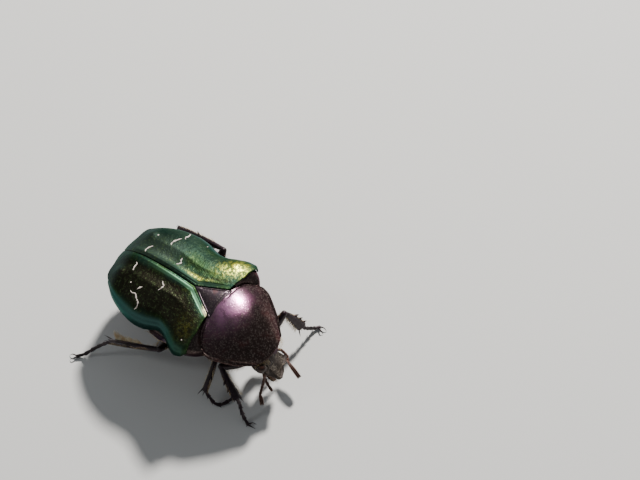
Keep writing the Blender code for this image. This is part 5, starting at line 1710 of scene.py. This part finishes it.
@dataclass
class Head:
    """Head with its clypeus, eyes, feelers and mouthparts, drooping and turned to the left."""

    place: Point = (-0.12, -4.85, -3.33)
    yaw: float = 21.5
    droop: float = 49.2
    roll: float = -9.0
    stations: Row = (-0.75, -0.35, 0.1, 0.6, 1.0, 1.35, 1.8, 2.2, 2.45)
    width: Smooth = Smooth(stations, (1.15, 1.38, 1.48, 1.44, 1.3, 1.25, 1.28, 1.28, 1.2))
    crown: Smooth = Smooth(stations, (-0.3, -0.02, 0.08, 0.05, -0.04, -0.1, -0.13, -0.1, -0.05))
    chin: Smooth = Smooth(stations, (-1.35, -1.55, -1.6, -1.5, -1.3, -1.1, -0.85, -0.66, -0.6))
    squareness: float = 0.7
    end_round: float = 0.16
    end_narrowing: float = 0.14
    end_least: float = 0.02
    face_step: Span = (0.2, 0.8)
    clypeus_step: Span = (0.95, 1.4)
    side_rim: Point = (0.09, 0.1, 0.1)
    front_rim: Point = (0.12, 0.1, 0.13)
    hollow: Point = (0.62, 0.3, -0.09)
    hollow_along: Span = (1.75, 0.45)
    keel: Point = (0.0, 0.16, 0.05)
    keel_start: Span = (0.0, 0.5)
    keel_end: Span = (2.1, 1.6)
    seam: Point = (0.85, 0.14, -0.05)
    seam_step: Span = (0.2, 0.5)
    notch: float = 0.28
    notch_half_width: float = 0.45
    notch_curve: float = 1.3
    notch_step: Span = (2.05, 2.4)
    bosses: tuple[tuple[Point, Point], ...] = (((1.42, 0.64, -0.34), (0.34, 0.3, 0.16)),
                                               ((1.28, 0.4, -0.55), (0.3, 0.26, 0.5)))
    eye_place: Point = (1.36, 0.08, -0.52)
    eye_size: Point = (0.42, 0.5, 0.52)
    feelers: dict[Side, Line] = field(default_factory=lambda: {
        Side.RIGHT: ((-1.19, -5.24, -4.26), (-1.4, -5.5, -4.56), (-1.75, -5.6, -5.3), (-2.3, -5.78, -5.75),
                     (-2.72, -5.95, -5.85)),
        Side.LEFT: ((0.78, -4.55, -4.68), (0.96, -4.47, -5.04), (1.75, -4.85, -5.6), (1.85, -5.35, -6.2),
                    (1.5, -5.72, -6.45))})
    clubs: dict[Side, tuple[Point, Point]] = field(default_factory=lambda: {
        Side.RIGHT: ((-2.68, -5.93, -5.84), (-2.94, -6.3, -6.9)),
        Side.LEFT: ((1.55, -5.6, -6.4), (0.98, -7.4, -6.6))})
    first_joint: Segment = Segment(0.1, 0.09, (0.1, 0.85), 16, 16)
    bead: Segment = Segment(0.085, 0.06, (0.1, 0.75))
    bead_shares: tuple[float, float, int] = (0.36, 0.98, 7)
    club_facing: Point = (-0.37, -0.31, 0.88)
    leaf_gap: Span = (0.03, 0.1)
    leaf_fan: Span = (0.75, 0.5)
    leaf_growth: float = 0.05
    leaf_half: Span = (0.13, 0.22)
    leaf_run: Span = (0.08, 0.84)
    leaf_curve: float = 0.7
    leaf_thickness: float = 0.065
    jaws: tuple[tuple[Point, Point], ...] = (((0.0, 1.4, -1.45), (0.62, 0.75, 0.42)),
                                             ((0.0, 2.0, -0.9), (0.75, 0.42, 0.3)),
                                             ((-0.62, 1.75, -1.15), (0.3, 0.55, 0.4)),
                                             ((0.62, 1.75, -1.15), (0.3, 0.55, 0.4)))
    lobes: tuple[tuple[Point, Point, Point], ...] = (
        ((-0.6, 1.6, -1.3), (-0.75, 2.23, -1.25), (-0.78, 2.65, -1.3)),
        ((0.6, 1.6, -1.3), (0.75, 2.2, -1.3), (0.78, 2.6, -1.35)))
    lobe_radius: float = 0.3
    lobe_taper: float = 0.45
    lobe_flatness: float = 0.7
    palps: tuple[Line, ...] = (
        ((-0.5, 1.4, -1.6), (-0.95, 1.95, -1.8), (-1.38, 2.4, -1.7), (-1.8, 2.78, -1.5)),
        ((0.5, 1.4, -1.6), (1.05, 1.9, -1.75), (1.3, 2.35, -1.85), (1.2, 2.8, -2.05)),
        ((-0.3, 1.7, -1.75), (-0.45, 2.1, -1.85), (-0.62, 2.5, -1.75), (-0.7, 2.85, -1.6)),
        ((0.3, 1.7, -1.75), (0.5, 2.1, -1.85), (0.55, 2.5, -1.9), (0.5, 2.8, -1.85)))
    palp_slim: Row = (1.0, 1.0, 0.75, 0.75)
    palp_shares: Row = (0.0, 0.3, 0.52, 0.72, 1.0)
    palp_joint: Segment = Segment(0.08, 0.07, (0.08, 0.8), 10)
    hair_ahead: Point = (0.0, 1.0, 0.35)
    down_across: Span = (-0.85, 0.85)
    down_along: Span = (-0.2, 2.0)
    down_sink: Span = (0.03, 0.08)
    down_density: float = 55.0
    chin_across: Span = (-0.8, 0.8)
    chin_along: Span = (0.6, 2.0)
    chin_half_width: float = 0.9
    chin_z: float = -1.45
    chin_density: float = 30.0
    brush_across: Span = (-0.2, 0.2)
    brush_start: float = 1.9
    brush_density: float = 260.0

    def __post_init__(self) -> None:
        turn = Matrix.Rotation(math.radians(self.yaw), 3, "Z")
        turn = turn @ Matrix.Rotation(math.radians(self.droop), 3, "X")
        turn = turn @ Matrix.Rotation(math.radians(-self.roll), 3, "Y")
        self.turn = np.array(turn @ Matrix.Diagonal((1.0, -1.0, 1.0)))

    def put(self, points: Array | Sequence[float]) -> Array:
        """Turn places in the head's frame into the beetle's frame."""
        return np.asarray(points, dtype=float) @ self.turn.T + np.asarray(self.place)

    def capsule(self) -> Shape:
        """Return the head itself, with a raised rim round the clypeus and a keel down the face."""
        first, last = self.stations[0], self.stations[-1]
        station = (first + (last - first) * (spread(101) + 1.0) / 2.0)[:, None]
        angle = np.linspace(0.0, 2.0 * np.pi, 128, endpoint=False)[None]
        across, up = (np.sign(c) * np.abs(c)**self.squareness for c in (np.cos(angle), np.sin(angle)))
        into_end = ((station - (last - self.end_round)) / self.end_round).clip(0.0, 1.0)
        round_off = np.sqrt(np.clip(1.0 - into_end**2, self.end_least, 1.0))
        half = self.width(station) - self.end_narrowing * (1.0 - round_off)
        top, bottom = self.crown(station), self.chin(station)
        x = half * across
        ahead = station * np.ones_like(angle)
        aside = np.abs(x)
        rims = bump(half - aside, self.side_rim) * rise(ahead, *self.clypeus_step)
        rims = rims + bump(last - ahead, self.front_rim)
        hollow = bump(aside, self.hollow) * bell(ahead, *self.hollow_along)
        keel = bump(x, self.keel) * rise(ahead, *self.keel_start) * rise(ahead, *self.keel_end)
        seam = bump(ahead, self.seam) * rise(aside, *self.seam_step)
        z = (top + bottom) / 2.0 + (top - bottom) / 2.0 * round_off * up
        z = z + rise(up, *self.face_step) * (rims + hollow + keel + seam)
        dip = self.notch * np.maximum(0.0, 1.0 - aside / self.notch_half_width)**self.notch_curve
        ahead = ahead - dip * rise(ahead, *self.notch_step)
        shape = Shape()
        shape.loft(self.put(np.stack([x, ahead, z], axis=-1)))
        for side in Side:
            for (x, y, z), size in self.bosses:
                shape.ball(self.put((side.value * x, y, z)), size, self.turn)
        return shape

    def feeler(self, side: Side) -> Shape:
        """Return one feeler: a long first joint, a stalk of beads and a club of three leaves."""
        shape = Shape()
        path = Path(self.feelers[side])
        self.first_joint.add(shape, path, 0.0, self.bead_shares[0])
        ends = np.linspace(*self.bead_shares)
        for start, end in zip(ends[:-1], ends[1:]):
            self.bead.add(shape, path, start, end)
        root, tip = (np.array(end) for end in self.clubs[side])
        apart = unit(np.cross(unit(tip - root), self.club_facing))
        t = ramp(24)
        half = self.leaf_half[0] + self.leaf_half[1] * hump(t, *self.leaf_run)**self.leaf_curve
        fan = np.sin(np.pi * np.minimum(t * self.leaf_fan[0], self.leaf_fan[1]))
        for k in (-1, 0, 1):
            reach = (tip - root) * (1.0 + self.leaf_growth * k)
            gap = k * (self.leaf_gap[0] + self.leaf_gap[1] * fan)
            line = tip + reach * (t - 1.0)[:, None] + apart * gap[:, None]
            shape.sweep(line, half, np.full_like(t, self.leaf_thickness), self.club_facing, 24, (0.8, 1.0))
        return shape

    def mouth(self) -> Shape:
        """Return the chin plate, the jaws below the clypeus with their lobes, and the palps."""
        shape = Shape()
        for place, size in self.jaws:
            shape.ball(self.put(place), size, self.turn)
        t = ramp(16)
        size = self.lobe_radius * (1.0 - self.lobe_taper * t)
        for lobe in self.lobes:
            shape.sweep(Path(self.put(lobe))(t), size, size * self.lobe_flatness, sides=18)
        for palp, slim in zip(self.palps, self.palp_slim):
            path = Path(self.put(palp))
            for start, end in zip(self.palp_shares[:-1], self.palp_shares[1:]):
                self.palp_joint.add(shape, path, start, end, slim)
        return shape

    def hair(self, down: Coat, coat: Coat) -> None:
        """Let short down grow on the face, hair on the chin and brushes on the lobes of the jaws."""
        ahead = self.put(self.hair_ahead) - np.asarray(self.place)
        u, station = lattice(self.down_across, self.down_along, 20, 24)
        height = self.crown(station) - self.down_sink[0] - self.down_sink[1] * u**4
        face = self.put(np.stack([u * self.width(station), station, height], axis=-1))
        down.cover(face, np.broadcast_to(self.turn[:, 2], face.shape), ahead, self.down_density)
        u, station = lattice(self.chin_across, self.chin_along, 16, 16)
        patches = [(u * self.chin_half_width, station, self.chin_z, self.chin_density)]
        for _, (x, _, _), (_, reach, z) in self.lobes:
            u, station = lattice(self.brush_across, (self.brush_start, reach), 6, 8)
            patches.append((x + u, station, z, self.brush_density))
        for x, y, z, density in patches:
            skin = self.put(np.stack([x, y, np.full_like(x, z)], axis=-1))
            coat.cover(skin, np.broadcast_to(-self.turn[:, 2], skin.shape), ahead, density)

    def dress(self, looks: Looks, down: Coat, coat: Coat) -> None:
        """Make the pieces and let hair grow on them."""
        dress(self.capsule().make("skin_head"), looks.head, "head", "head")
        x, y, z = self.eye_place
        for side, word in ((Side.LEFT, "left"), (Side.RIGHT, "right")):
            shape = Shape()
            shape.ball(self.put((side.value * x, y, z)), self.eye_size, self.turn, 64, 48)
            dress(shape.make("skin_eye_" + word), looks.eye, "eye", "eye_" + word)
            dress(self.feeler(side).make("skin_antenna_" + word), looks.feeler, "antenna", "antenna_" + word)
        dress(self.mouth().make("skin_mouthparts"), looks.feeler, "mouthparts", "mouthparts")
        self.hair(down, coat)


# Legs


@dataclass(frozen=True)
class Joints:
    """Places of one leg's joints, from its root on the body to the claws."""

    root: Point
    hip: Point
    knee: Point
    ankle: Point
    foot: Line
    claw: Point


@dataclass(frozen=True)
class Build:
    """Sizes that differ between front, middle and hind legs."""

    thigh: Row
    shin: Row
    teeth: Row
    tooth_reach: float
    spurs: Row
    spur_reach: float


LOW = -8.2
LEGS = {
    "leg_front_right": Joints(
        (-0.95, -2.9, -5.0), (-0.75, -3.05, -6.05), (-3.18, -1.98, -4.4), (-4.25, -4.62, -5.75),
        ((-4.27, -4.85, -6.55), (-4.53, -5.25, -7.2), (-4.63, -5.62, -7.95), (-4.8, -6.15, LOW)),
        (-4.5, -6.75, -8.34)),
    "leg_front_left": Joints(
        (1.25, -2.9, -5.0), (1.5, -3.05, -6.0), (4.16, -3.39, -3.85), (5.01, -4.54, -6.5),
        ((5.3, -4.72, -7.0), (5.78, -4.88, -7.6), (6.25, -5.04, -8.08), (6.62, -5.3, LOW)),
        (6.5, -5.95, -8.34)),
    "leg_middle_right": Joints(
        (-1.35, 1.9, -6.1), (-1.4, 1.6, -7.05), (-2.52, -0.98, -4.95), (-4.93, -1.5, -6.85),
        ((-5.02, -2.0, -7.4), (-5.03, -2.45, -7.9), (-4.73, -3.0, LOW), (-4.08, -3.32, LOW),
         (-3.45, -3.5, LOW)),
        (-2.85, -3.8, -8.34)),
    "leg_middle_left": Joints(
        (1.45, 1.9, -6.1), (1.6, 1.6, -7.05), (4.4, 0.6, -5.0), (6.05, 2.2, -7.0),
        ((6.33, 2.75, -7.6), (6.45, 3.4, -8.05), (6.42, 4.1, LOW), (6.25, 4.75, LOW)),
        (6.0, 5.4, -8.34)),
    "leg_hind_right": Joints(
        (-1.45, 4.0, -6.4), (-1.6, 4.2, -7.5), (-5.2, 3.3, -4.2), (-6.7, 7.75, -5.55),
        ((-7.15, 8.6, -6.6), (-7.7, 9.25, -7.45), (-8.2, 9.75, -8.05), (-8.65, 10.15, LOW)),
        (-9.1, 10.65, -8.34)),
    "leg_hind_left": Joints(
        (1.6, 4.0, -6.4), (1.9, 4.25, -7.45), (5.95, 4.85, -3.9), (5.4, 9.7, -4.9),
        ((5.2, 10.4, -5.95), (5.05, 10.8, -7.05), (4.97, 11.2, -8.0), (4.85, 11.85, LOW)),
        (4.75, 12.5, -8.34)),
}
BUILDS = {
    "front": Build(thigh=(0.2, 0.36, 0.46, 0.4, 0.27), shin=(0.17, 0.25, 0.36, 0.45, 0.46),
                   teeth=(0.42, 0.64, 0.87), tooth_reach=0.3, spurs=(-1.0,), spur_reach=0.7),
    "middle": Build(thigh=(0.2, 0.36, 0.47, 0.4, 0.27), shin=(0.17, 0.24, 0.3, 0.37, 0.38),
                    teeth=(0.55,), tooth_reach=0.22, spurs=(-1.0, 1.0), spur_reach=0.85),
    "hind": Build(thigh=(0.24, 0.42, 0.66, 0.54, 0.3), shin=(0.18, 0.27, 0.35, 0.42, 0.44),
                  teeth=(0.55,), tooth_reach=0.24, spurs=(-1.0, 1.0), spur_reach=1.1),
}


@dataclass
class Leg:
    """One leg: hip, thigh, shin with teeth and spurs, a foot of five joints, and two claws."""

    name: str
    joints: Joints
    build: Build
    places: Row = (0.0, 0.2, 0.5, 0.8, 1.0)
    thigh_thickness: float = 0.27
    thigh_swell: float = 0.06
    thigh_start: float = 0.1
    hip_half: Span = (0.3, 0.22)
    hip_run: Span = (0.15, 0.75)
    hip_flatness: float = 0.9
    hip_ball: Span = (0.18, 0.3)
    knee_ball: float = 0.2
    shin_thickness: float = 0.22
    shin_swell: float = 0.03
    shin_bow: float = 0.07
    shin_ribs: tuple[int, float] = (10, 0.045)
    tooth_notch: Point = (0.05, 0.025, 0.12)
    tooth_root: float = 0.45
    tooth_lean: float = 0.3
    tooth_radius: float = 0.19
    tooth_curl: float = -0.04
    spur_root: Point = (-0.12, -0.6, 0.1)
    spur_lean: Span = (-0.42, 0.16)
    spur_radius: float = 0.075
    spur_curl: float = -0.03
    crown_spines: int = 9
    crown_root: Span = (-0.04, 0.8)
    crown_reach: Span = (0.24, 0.25)
    crown_radius: float = 0.045
    row_spines: int = 7
    row_start: Span = (0.22, 0.1)
    row_root: float = 0.85
    row_reach: Span = (0.2, -0.1)
    row_radius: float = 0.035
    foot_radius: float = 0.19
    foot_waist: float = 0.115
    foot_joints: int = 5
    foot_curve: float = 1.3
    foot_upward: Point = (0.1, 0.2, 1.0)
    joint_reach: Span = (1.02, -0.01)
    last_joint_growth: float = 0.75
    foot_spine_root: Span = (0.8, 0.3)
    foot_spine_reach: Span = (0.16, 0.09)
    foot_spine_radius: float = 0.028
    claw_start: float = 0.06
    claw_bend: Point = (0.55, 0.2, 0.16)
    claw_spread: float = 0.22
    claw_radius: float = 0.085
    claw_taper: float = 0.85
    shin_hair: Span = (0.16, 0.9)
    inner_edge: float = 0.88
    inner_lie: Span = (0.8, -1.0)
    inner_hair: Span = (0.22, 300.0)
    outer_edge: float = 0.8
    outer_lie: Span = (1.0, 0.5)
    outer_hair: Span = (0.2, 90.0)
    fringe_edge: Span = (0.62, 0.7)
    fringe_lie: Span = (0.4, 0.8)
    fringe_lean: Span = (2.6, 0.55)
    fringe_hair: Span = (0.2, 420.0)
    fringe_first: int = 8
    thigh_share: Span = (0.1, 0.92)
    thigh_edge: float = 0.85
    thigh_lie: float = 0.8
    thigh_hair: Span = (0.3, 80.0)

    def __post_init__(self) -> None:
        out = np.array((-1.0 if self.name.endswith("right") else 1.0, -0.3, 0.0))
        j = self.joints
        self.hip, self.knee, self.ankle = (np.array(p) for p in (j.hip, j.knee, j.ankle))
        self.down_thigh = unit(self.knee - self.hip)
        self.down_shin = unit(self.ankle - self.knee)
        self.plane = unit(np.cross(self.down_thigh, self.down_shin))
        self.across_thigh = np.cross(self.plane, self.down_thigh)
        outward = np.cross(self.down_shin, self.plane)
        self.outward = outward * math.copysign(1.0, float(np.dot(outward, out)))
        self.thigh_half = Smooth(self.places, self.build.thigh)
        self.shin_half = Smooth(self.places, self.build.shin)

    def away(self, down: float, out: float = 0.0, aside: float = 0.0) -> Array:
        """Return a step down the shin, out to its toothed edge and across it."""
        return self.down_shin * down + self.outward * out + self.plane * aside

    def shin_line(self, t: Array) -> Array:
        """Return the bowed middle line of the shin."""
        bow = self.outward * (self.shin_bow * hump(t))[:, None]
        return self.knee + (self.ankle - self.knee) * t[:, None] + bow

    def thigh(self) -> Shape:
        """Return the hip joint and the thigh."""
        shape = Shape()
        t = ramp(30)
        start = self.hip - self.down_thigh * self.thigh_start
        half = self.thigh_half(t)
        thick = np.minimum(self.thigh_thickness + self.thigh_swell * hump(t), half)
        shape.sweep(start + (self.knee - start) * t[:, None], half, thick, self.across_thigh, 28, (0.9, 0.7))
        root = np.array(self.joints.root)
        size = self.hip_half[0] + self.hip_half[1] * hump(t, *self.hip_run)
        line = root + (self.hip - root) * t[:, None]
        shape.sweep(line, size, size * self.hip_flatness, (0.0, 1.0, 0.0), 24, (0.7, 0.9))
        shape.ball(self.hip + self.down_thigh * self.hip_ball[0], (self.hip_ball[1],) * 3)
        return shape

    def shin(self) -> Shape:
        """Return the shin with its teeth, its spurs, a crown of spines at its end and a row inside it."""
        shape = Shape()
        t = ramp(40)
        half = self.shin_half(t)
        after, width, depth = self.tooth_notch
        notch = sum(bump(t, (place + after, width, depth)) for place in self.build.teeth)
        thick = np.minimum(self.shin_thickness + self.shin_swell * hump(t), half)
        half = half * (1.0 - notch)
        shape.sweep(self.shin_line(t), half, thick, self.outward, 30, (1.0, 0.35), self.shin_ribs)
        shape.ball(self.knee, (self.knee_ball,) * 3)
        wide = self.build.shin[-1]
        for place in self.build.teeth:
            root = self.knee + (self.ankle - self.knee) * place + self.away(0.0, wide * self.tooth_root)
            tip = root + self.away(self.tooth_lean, wide * self.tooth_root + self.build.tooth_reach)
            shape.spike(root, tip, self.tooth_radius, self.away(self.tooth_curl), 12)
        down, out, aside = self.spur_root
        for side in self.build.spurs:
            root = self.ankle + self.away(down, wide * out, side * aside)
            tip = root + self.away(self.build.spur_reach, self.spur_lean[0], side * self.spur_lean[1])
            shape.spike(root, tip, self.spur_radius, self.away(0.0, self.spur_curl), 10)
        for k in range(self.crown_spines):
            angle = 2.0 * math.pi * k / self.crown_spines
            down, share = self.crown_root
            root = self.ankle + self.away(down, wide * share * math.cos(angle),
                                          self.shin_thickness * share * math.sin(angle))
            tip = root + self.away(self.crown_reach[0]) + (root - self.ankle) * self.crown_reach[1]
            shape.spike(root, tip, self.crown_radius, sides=6)
        for k in range(self.row_spines):
            place = self.row_start[0] + self.row_start[1] * k
            inward = -float(self.shin_half(place)) * self.row_root
            root = self.knee + (self.ankle - self.knee) * place + self.away(0.0, inward)
            shape.spike(root, root + self.away(*self.row_reach), self.row_radius, sides=6)
        return shape

    def foot(self) -> Shape:
        """Return the foot: joints that widen toward their ends, bristled, and the claws."""
        shape = Shape()
        path = Path([self.ankle, *self.joints.foot])
        ends = ramp(self.foot_joints + 1)
        t = ramp(14)
        for k, (start, end) in enumerate(zip(ends[:-1], ends[1:])):
            share = (t * self.joint_reach[0] + self.joint_reach[1]).clip(0.0, 1.0)
            line = path(start + (end - start) * share)
            growth = self.last_joint_growth if k == self.foot_joints - 1 else 1.0
            size = self.foot_waist + (self.foot_radius - self.foot_waist) * (t * growth)**self.foot_curve
            shape.sweep(line, size, sides=18, caps=(0.6, 0.5))
            ahead = unit(line[-1] - line[0])
            side = unit(np.cross(ahead, self.foot_upward))
            for s in (-1.0, 1.0):
                aside, down = (share * size[-1] for share in self.foot_spine_root)
                root = line[-2] + side * s * aside - np.array((0.0, 0.0, down))
                tip = root + ahead * self.foot_spine_reach[0] + side * s * self.foot_spine_reach[1]
                shape.spike(root, tip, self.foot_spine_radius, sides=6)
        toe, claw = np.array(self.joints.foot[-1]), np.array(self.joints.claw)
        aside = unit(np.cross(claw - toe, UP))
        share, out, up = self.claw_bend
        t = ramp(18)
        for s in (-1.0, 1.0):
            middle = toe + (claw - toe) * share + aside * s * out + np.array((0.0, 0.0, up))
            tip = claw + aside * s * self.claw_spread
            line = Path([toe - unit(claw - toe) * self.claw_start, middle, tip])(t)
            shape.sweep(line, self.claw_radius * (1.0 - self.claw_taper * t), sides=12, caps=(0.5, 1.0))
        return shape

    def hair(self, coat: Coat, fringe: Coat) -> None:
        """Let hair grow along the shin and the thigh, and a pale fringe on a hind shin."""
        t = np.linspace(*self.shin_hair, 40)
        line, half = self.shin_line(t), self.shin_half(t)[:, None]
        if "hind" in self.name:
            upward = self.plane * math.copysign(1.0, float(self.plane[2]))
            out, up = self.fringe_edge
            edge = line - self.outward * half * out + upward * self.shin_thickness * up
            edge = edge[self.fringe_first:]
            lean = np.linspace(*self.fringe_lean, len(edge))[:, None]
            out, up = self.fringe_lie
            lie = upward * up + self.down_shin * lean - self.outward * out
            fringe.strip(edge, self.outward, self.fringe_hair[0], lie, self.fringe_hair[1])
        sides = ((-self.inner_edge, self.inner_lie, self.inner_hair),
                 (self.outer_edge, self.outer_lie, self.outer_hair))
        for place, lie, (width, density) in sides:
            coat.strip(line + self.outward * half * place, self.plane, width, self.away(*lie), density)
        t = np.linspace(*self.thigh_share, 30)
        line, half = self.hip + (self.knee - self.hip) * t[:, None], self.thigh_half(t)[:, None]
        width, density = self.thigh_hair
        for s in (-1.0, 1.0):
            out = self.across_thigh * s
            lie = out * self.thigh_lie + self.down_thigh
            coat.strip(line + out * half * self.thigh_edge, self.plane, width, lie, density)

    def dress(self, looks: Looks, coat: Coat, fringe: Coat) -> None:
        """Make the three pieces and let hair grow on them."""
        for shape, part in ((self.thigh(), "_femur"), (self.shin(), "_tibia"), (self.foot(), "_tarsus")):
            dress(shape.make("skin_" + self.name + part), looks.leg, "leg", self.name + part)
        self.hair(coat, fringe)


# Floor, light and camera


@dataclass(frozen=True)
class Lamp:
    """One soft light, aimed at the beetle."""

    name: str
    direction: Point
    distance: float
    size: float
    power: float
    tint: Colour


@dataclass(frozen=True)
class Studio:
    """Plain floor, soft light and a camera that looks as the photo does."""

    azimuth: float = -50.22
    elevation: float = 61.41
    roll: float = -2.48
    offset: Point = (-8.42892624, -5.69934468, -339.53105915)
    focal_pixels: float = 3900.0
    width_pixels: float = 640.0
    sensor: float = 36.0
    clip: Span = (0.01, 10.0)
    floor_half: float = 0.6
    world: Colour = (0.62, 0.66, 0.70)
    world_strength: float = 0.34
    lamps: tuple[Lamp, ...] = (
        Lamp("key", (0.72, 0.18, 0.67), 0.35, 0.04, 3.0, (1.0, 0.98, 0.95)),
        Lamp("rim", (-0.5, 0.55, 0.67), 0.35, 0.06, 0.12, (0.92, 0.97, 1.0)),
    )

    def axes(self) -> tuple[Array, Array, Array]:
        """Return the camera's right, up and backward directions."""
        az, el, roll = (math.radians(a) for a in (self.azimuth, self.elevation, self.roll))
        back = np.array((math.sin(az) * math.cos(el), -math.cos(az) * math.cos(el), math.sin(el)))
        flat = unit(np.cross((0.0, 0.0, 1.0), back))
        up = np.cross(back, flat)
        right = math.cos(roll) * flat + math.sin(roll) * up
        return right, -math.sin(roll) * flat + math.cos(roll) * up, back

    def set_camera(self) -> None:
        """Put the camera where the photo was taken from."""
        turn = np.stack(self.axes())
        place = (-turn.T @ np.asarray(self.offset) - CENTRE) * METRES_PER_MM
        data = bpy.data.cameras.new("camera")
        data.sensor_width = self.sensor
        data.lens = self.focal_pixels / self.width_pixels * self.sensor
        data.clip_start, data.clip_end = self.clip
        matrix = Matrix(turn.T.tolist()).to_4x4()
        matrix.translation = Vector(place)
        camera = place_object("camera", data)
        camera.matrix_world = matrix
        bpy.context.scene.camera = camera

    def set_lights(self) -> None:
        """Add the lamps and an even sky."""
        for lamp in self.lamps:
            data = bpy.data.lights.new(lamp.name, "AREA")
            data.shape = "DISK"
            data.size = lamp.size
            data.energy = lamp.power
            data.color = lamp.tint
            toward = Vector(unit(lamp.direction))
            obj = place_object(lamp.name, data)
            obj.location = toward * lamp.distance
            obj.rotation_euler = toward.to_track_quat("Z", "Y").to_euler()
        world = bpy.data.worlds.new("sky")
        world.use_nodes = True
        background = world.node_tree.nodes["Background"]
        background.inputs["Color"].default_value = (*self.world, 1.0)
        background.inputs["Strength"].default_value = self.world_strength
        bpy.context.scene.world = world

    def set_floor(self, looks: Looks) -> None:
        """Lay the floor."""
        h = self.floor_half
        mesh = bpy.data.meshes.new("floor")
        mesh.from_pydata([(-h, -h, 0.0), (h, -h, 0.0), (h, h, 0.0), (-h, h, 0.0)], [], [(0, 1, 2, 3)])
        mesh.materials.append(looks.floor)
        place_object("floor", mesh)


def main() -> None:
    """Build the beetle piece by piece, then its floor, light and camera."""
    logging.basicConfig(level=logging.INFO, format="%(message)s")
    looks = Looks()
    coat = Coat("coat_body", seed=7, length=0.6, radius=0.009)
    fringe = Coat("coat_fringe", seed=11, length=1.0, radius=0.016, stand=0.1, stray=0.34)
    down = Coat("coat_face", seed=5, length=0.17, radius=0.006, stand=0.6)
    pronotum = Pronotum()
    pronotum.dress(looks, coat)
    scutellum = Scutellum()
    scutellum.dress(looks)
    wing = WingCase(scutellum)
    trees = wing.dress(looks)
    marks = Marks()
    marks.dress(looks, trees)
    trunk = Trunk(pronotum, wing)
    trunk.dress(looks, coat)
    marks.dress_rear(looks, trunk.pygidium.grid())
    Head().dress(looks, down, coat)
    for name, joints in LEGS.items():
        Leg(name, joints, BUILDS[name.split("_")[1]]).dress(looks, coat, fringe)
    dress(coat.make(looks.golden), looks.golden, "thorax")
    dress(fringe.make(looks.pale), looks.pale, "leg")
    dress(down.make(looks.down), looks.down, "head")
    studio = Studio()
    studio.set_floor(looks)
    studio.set_lights()
    studio.set_camera()


if __name__ == "__main__":
    main()
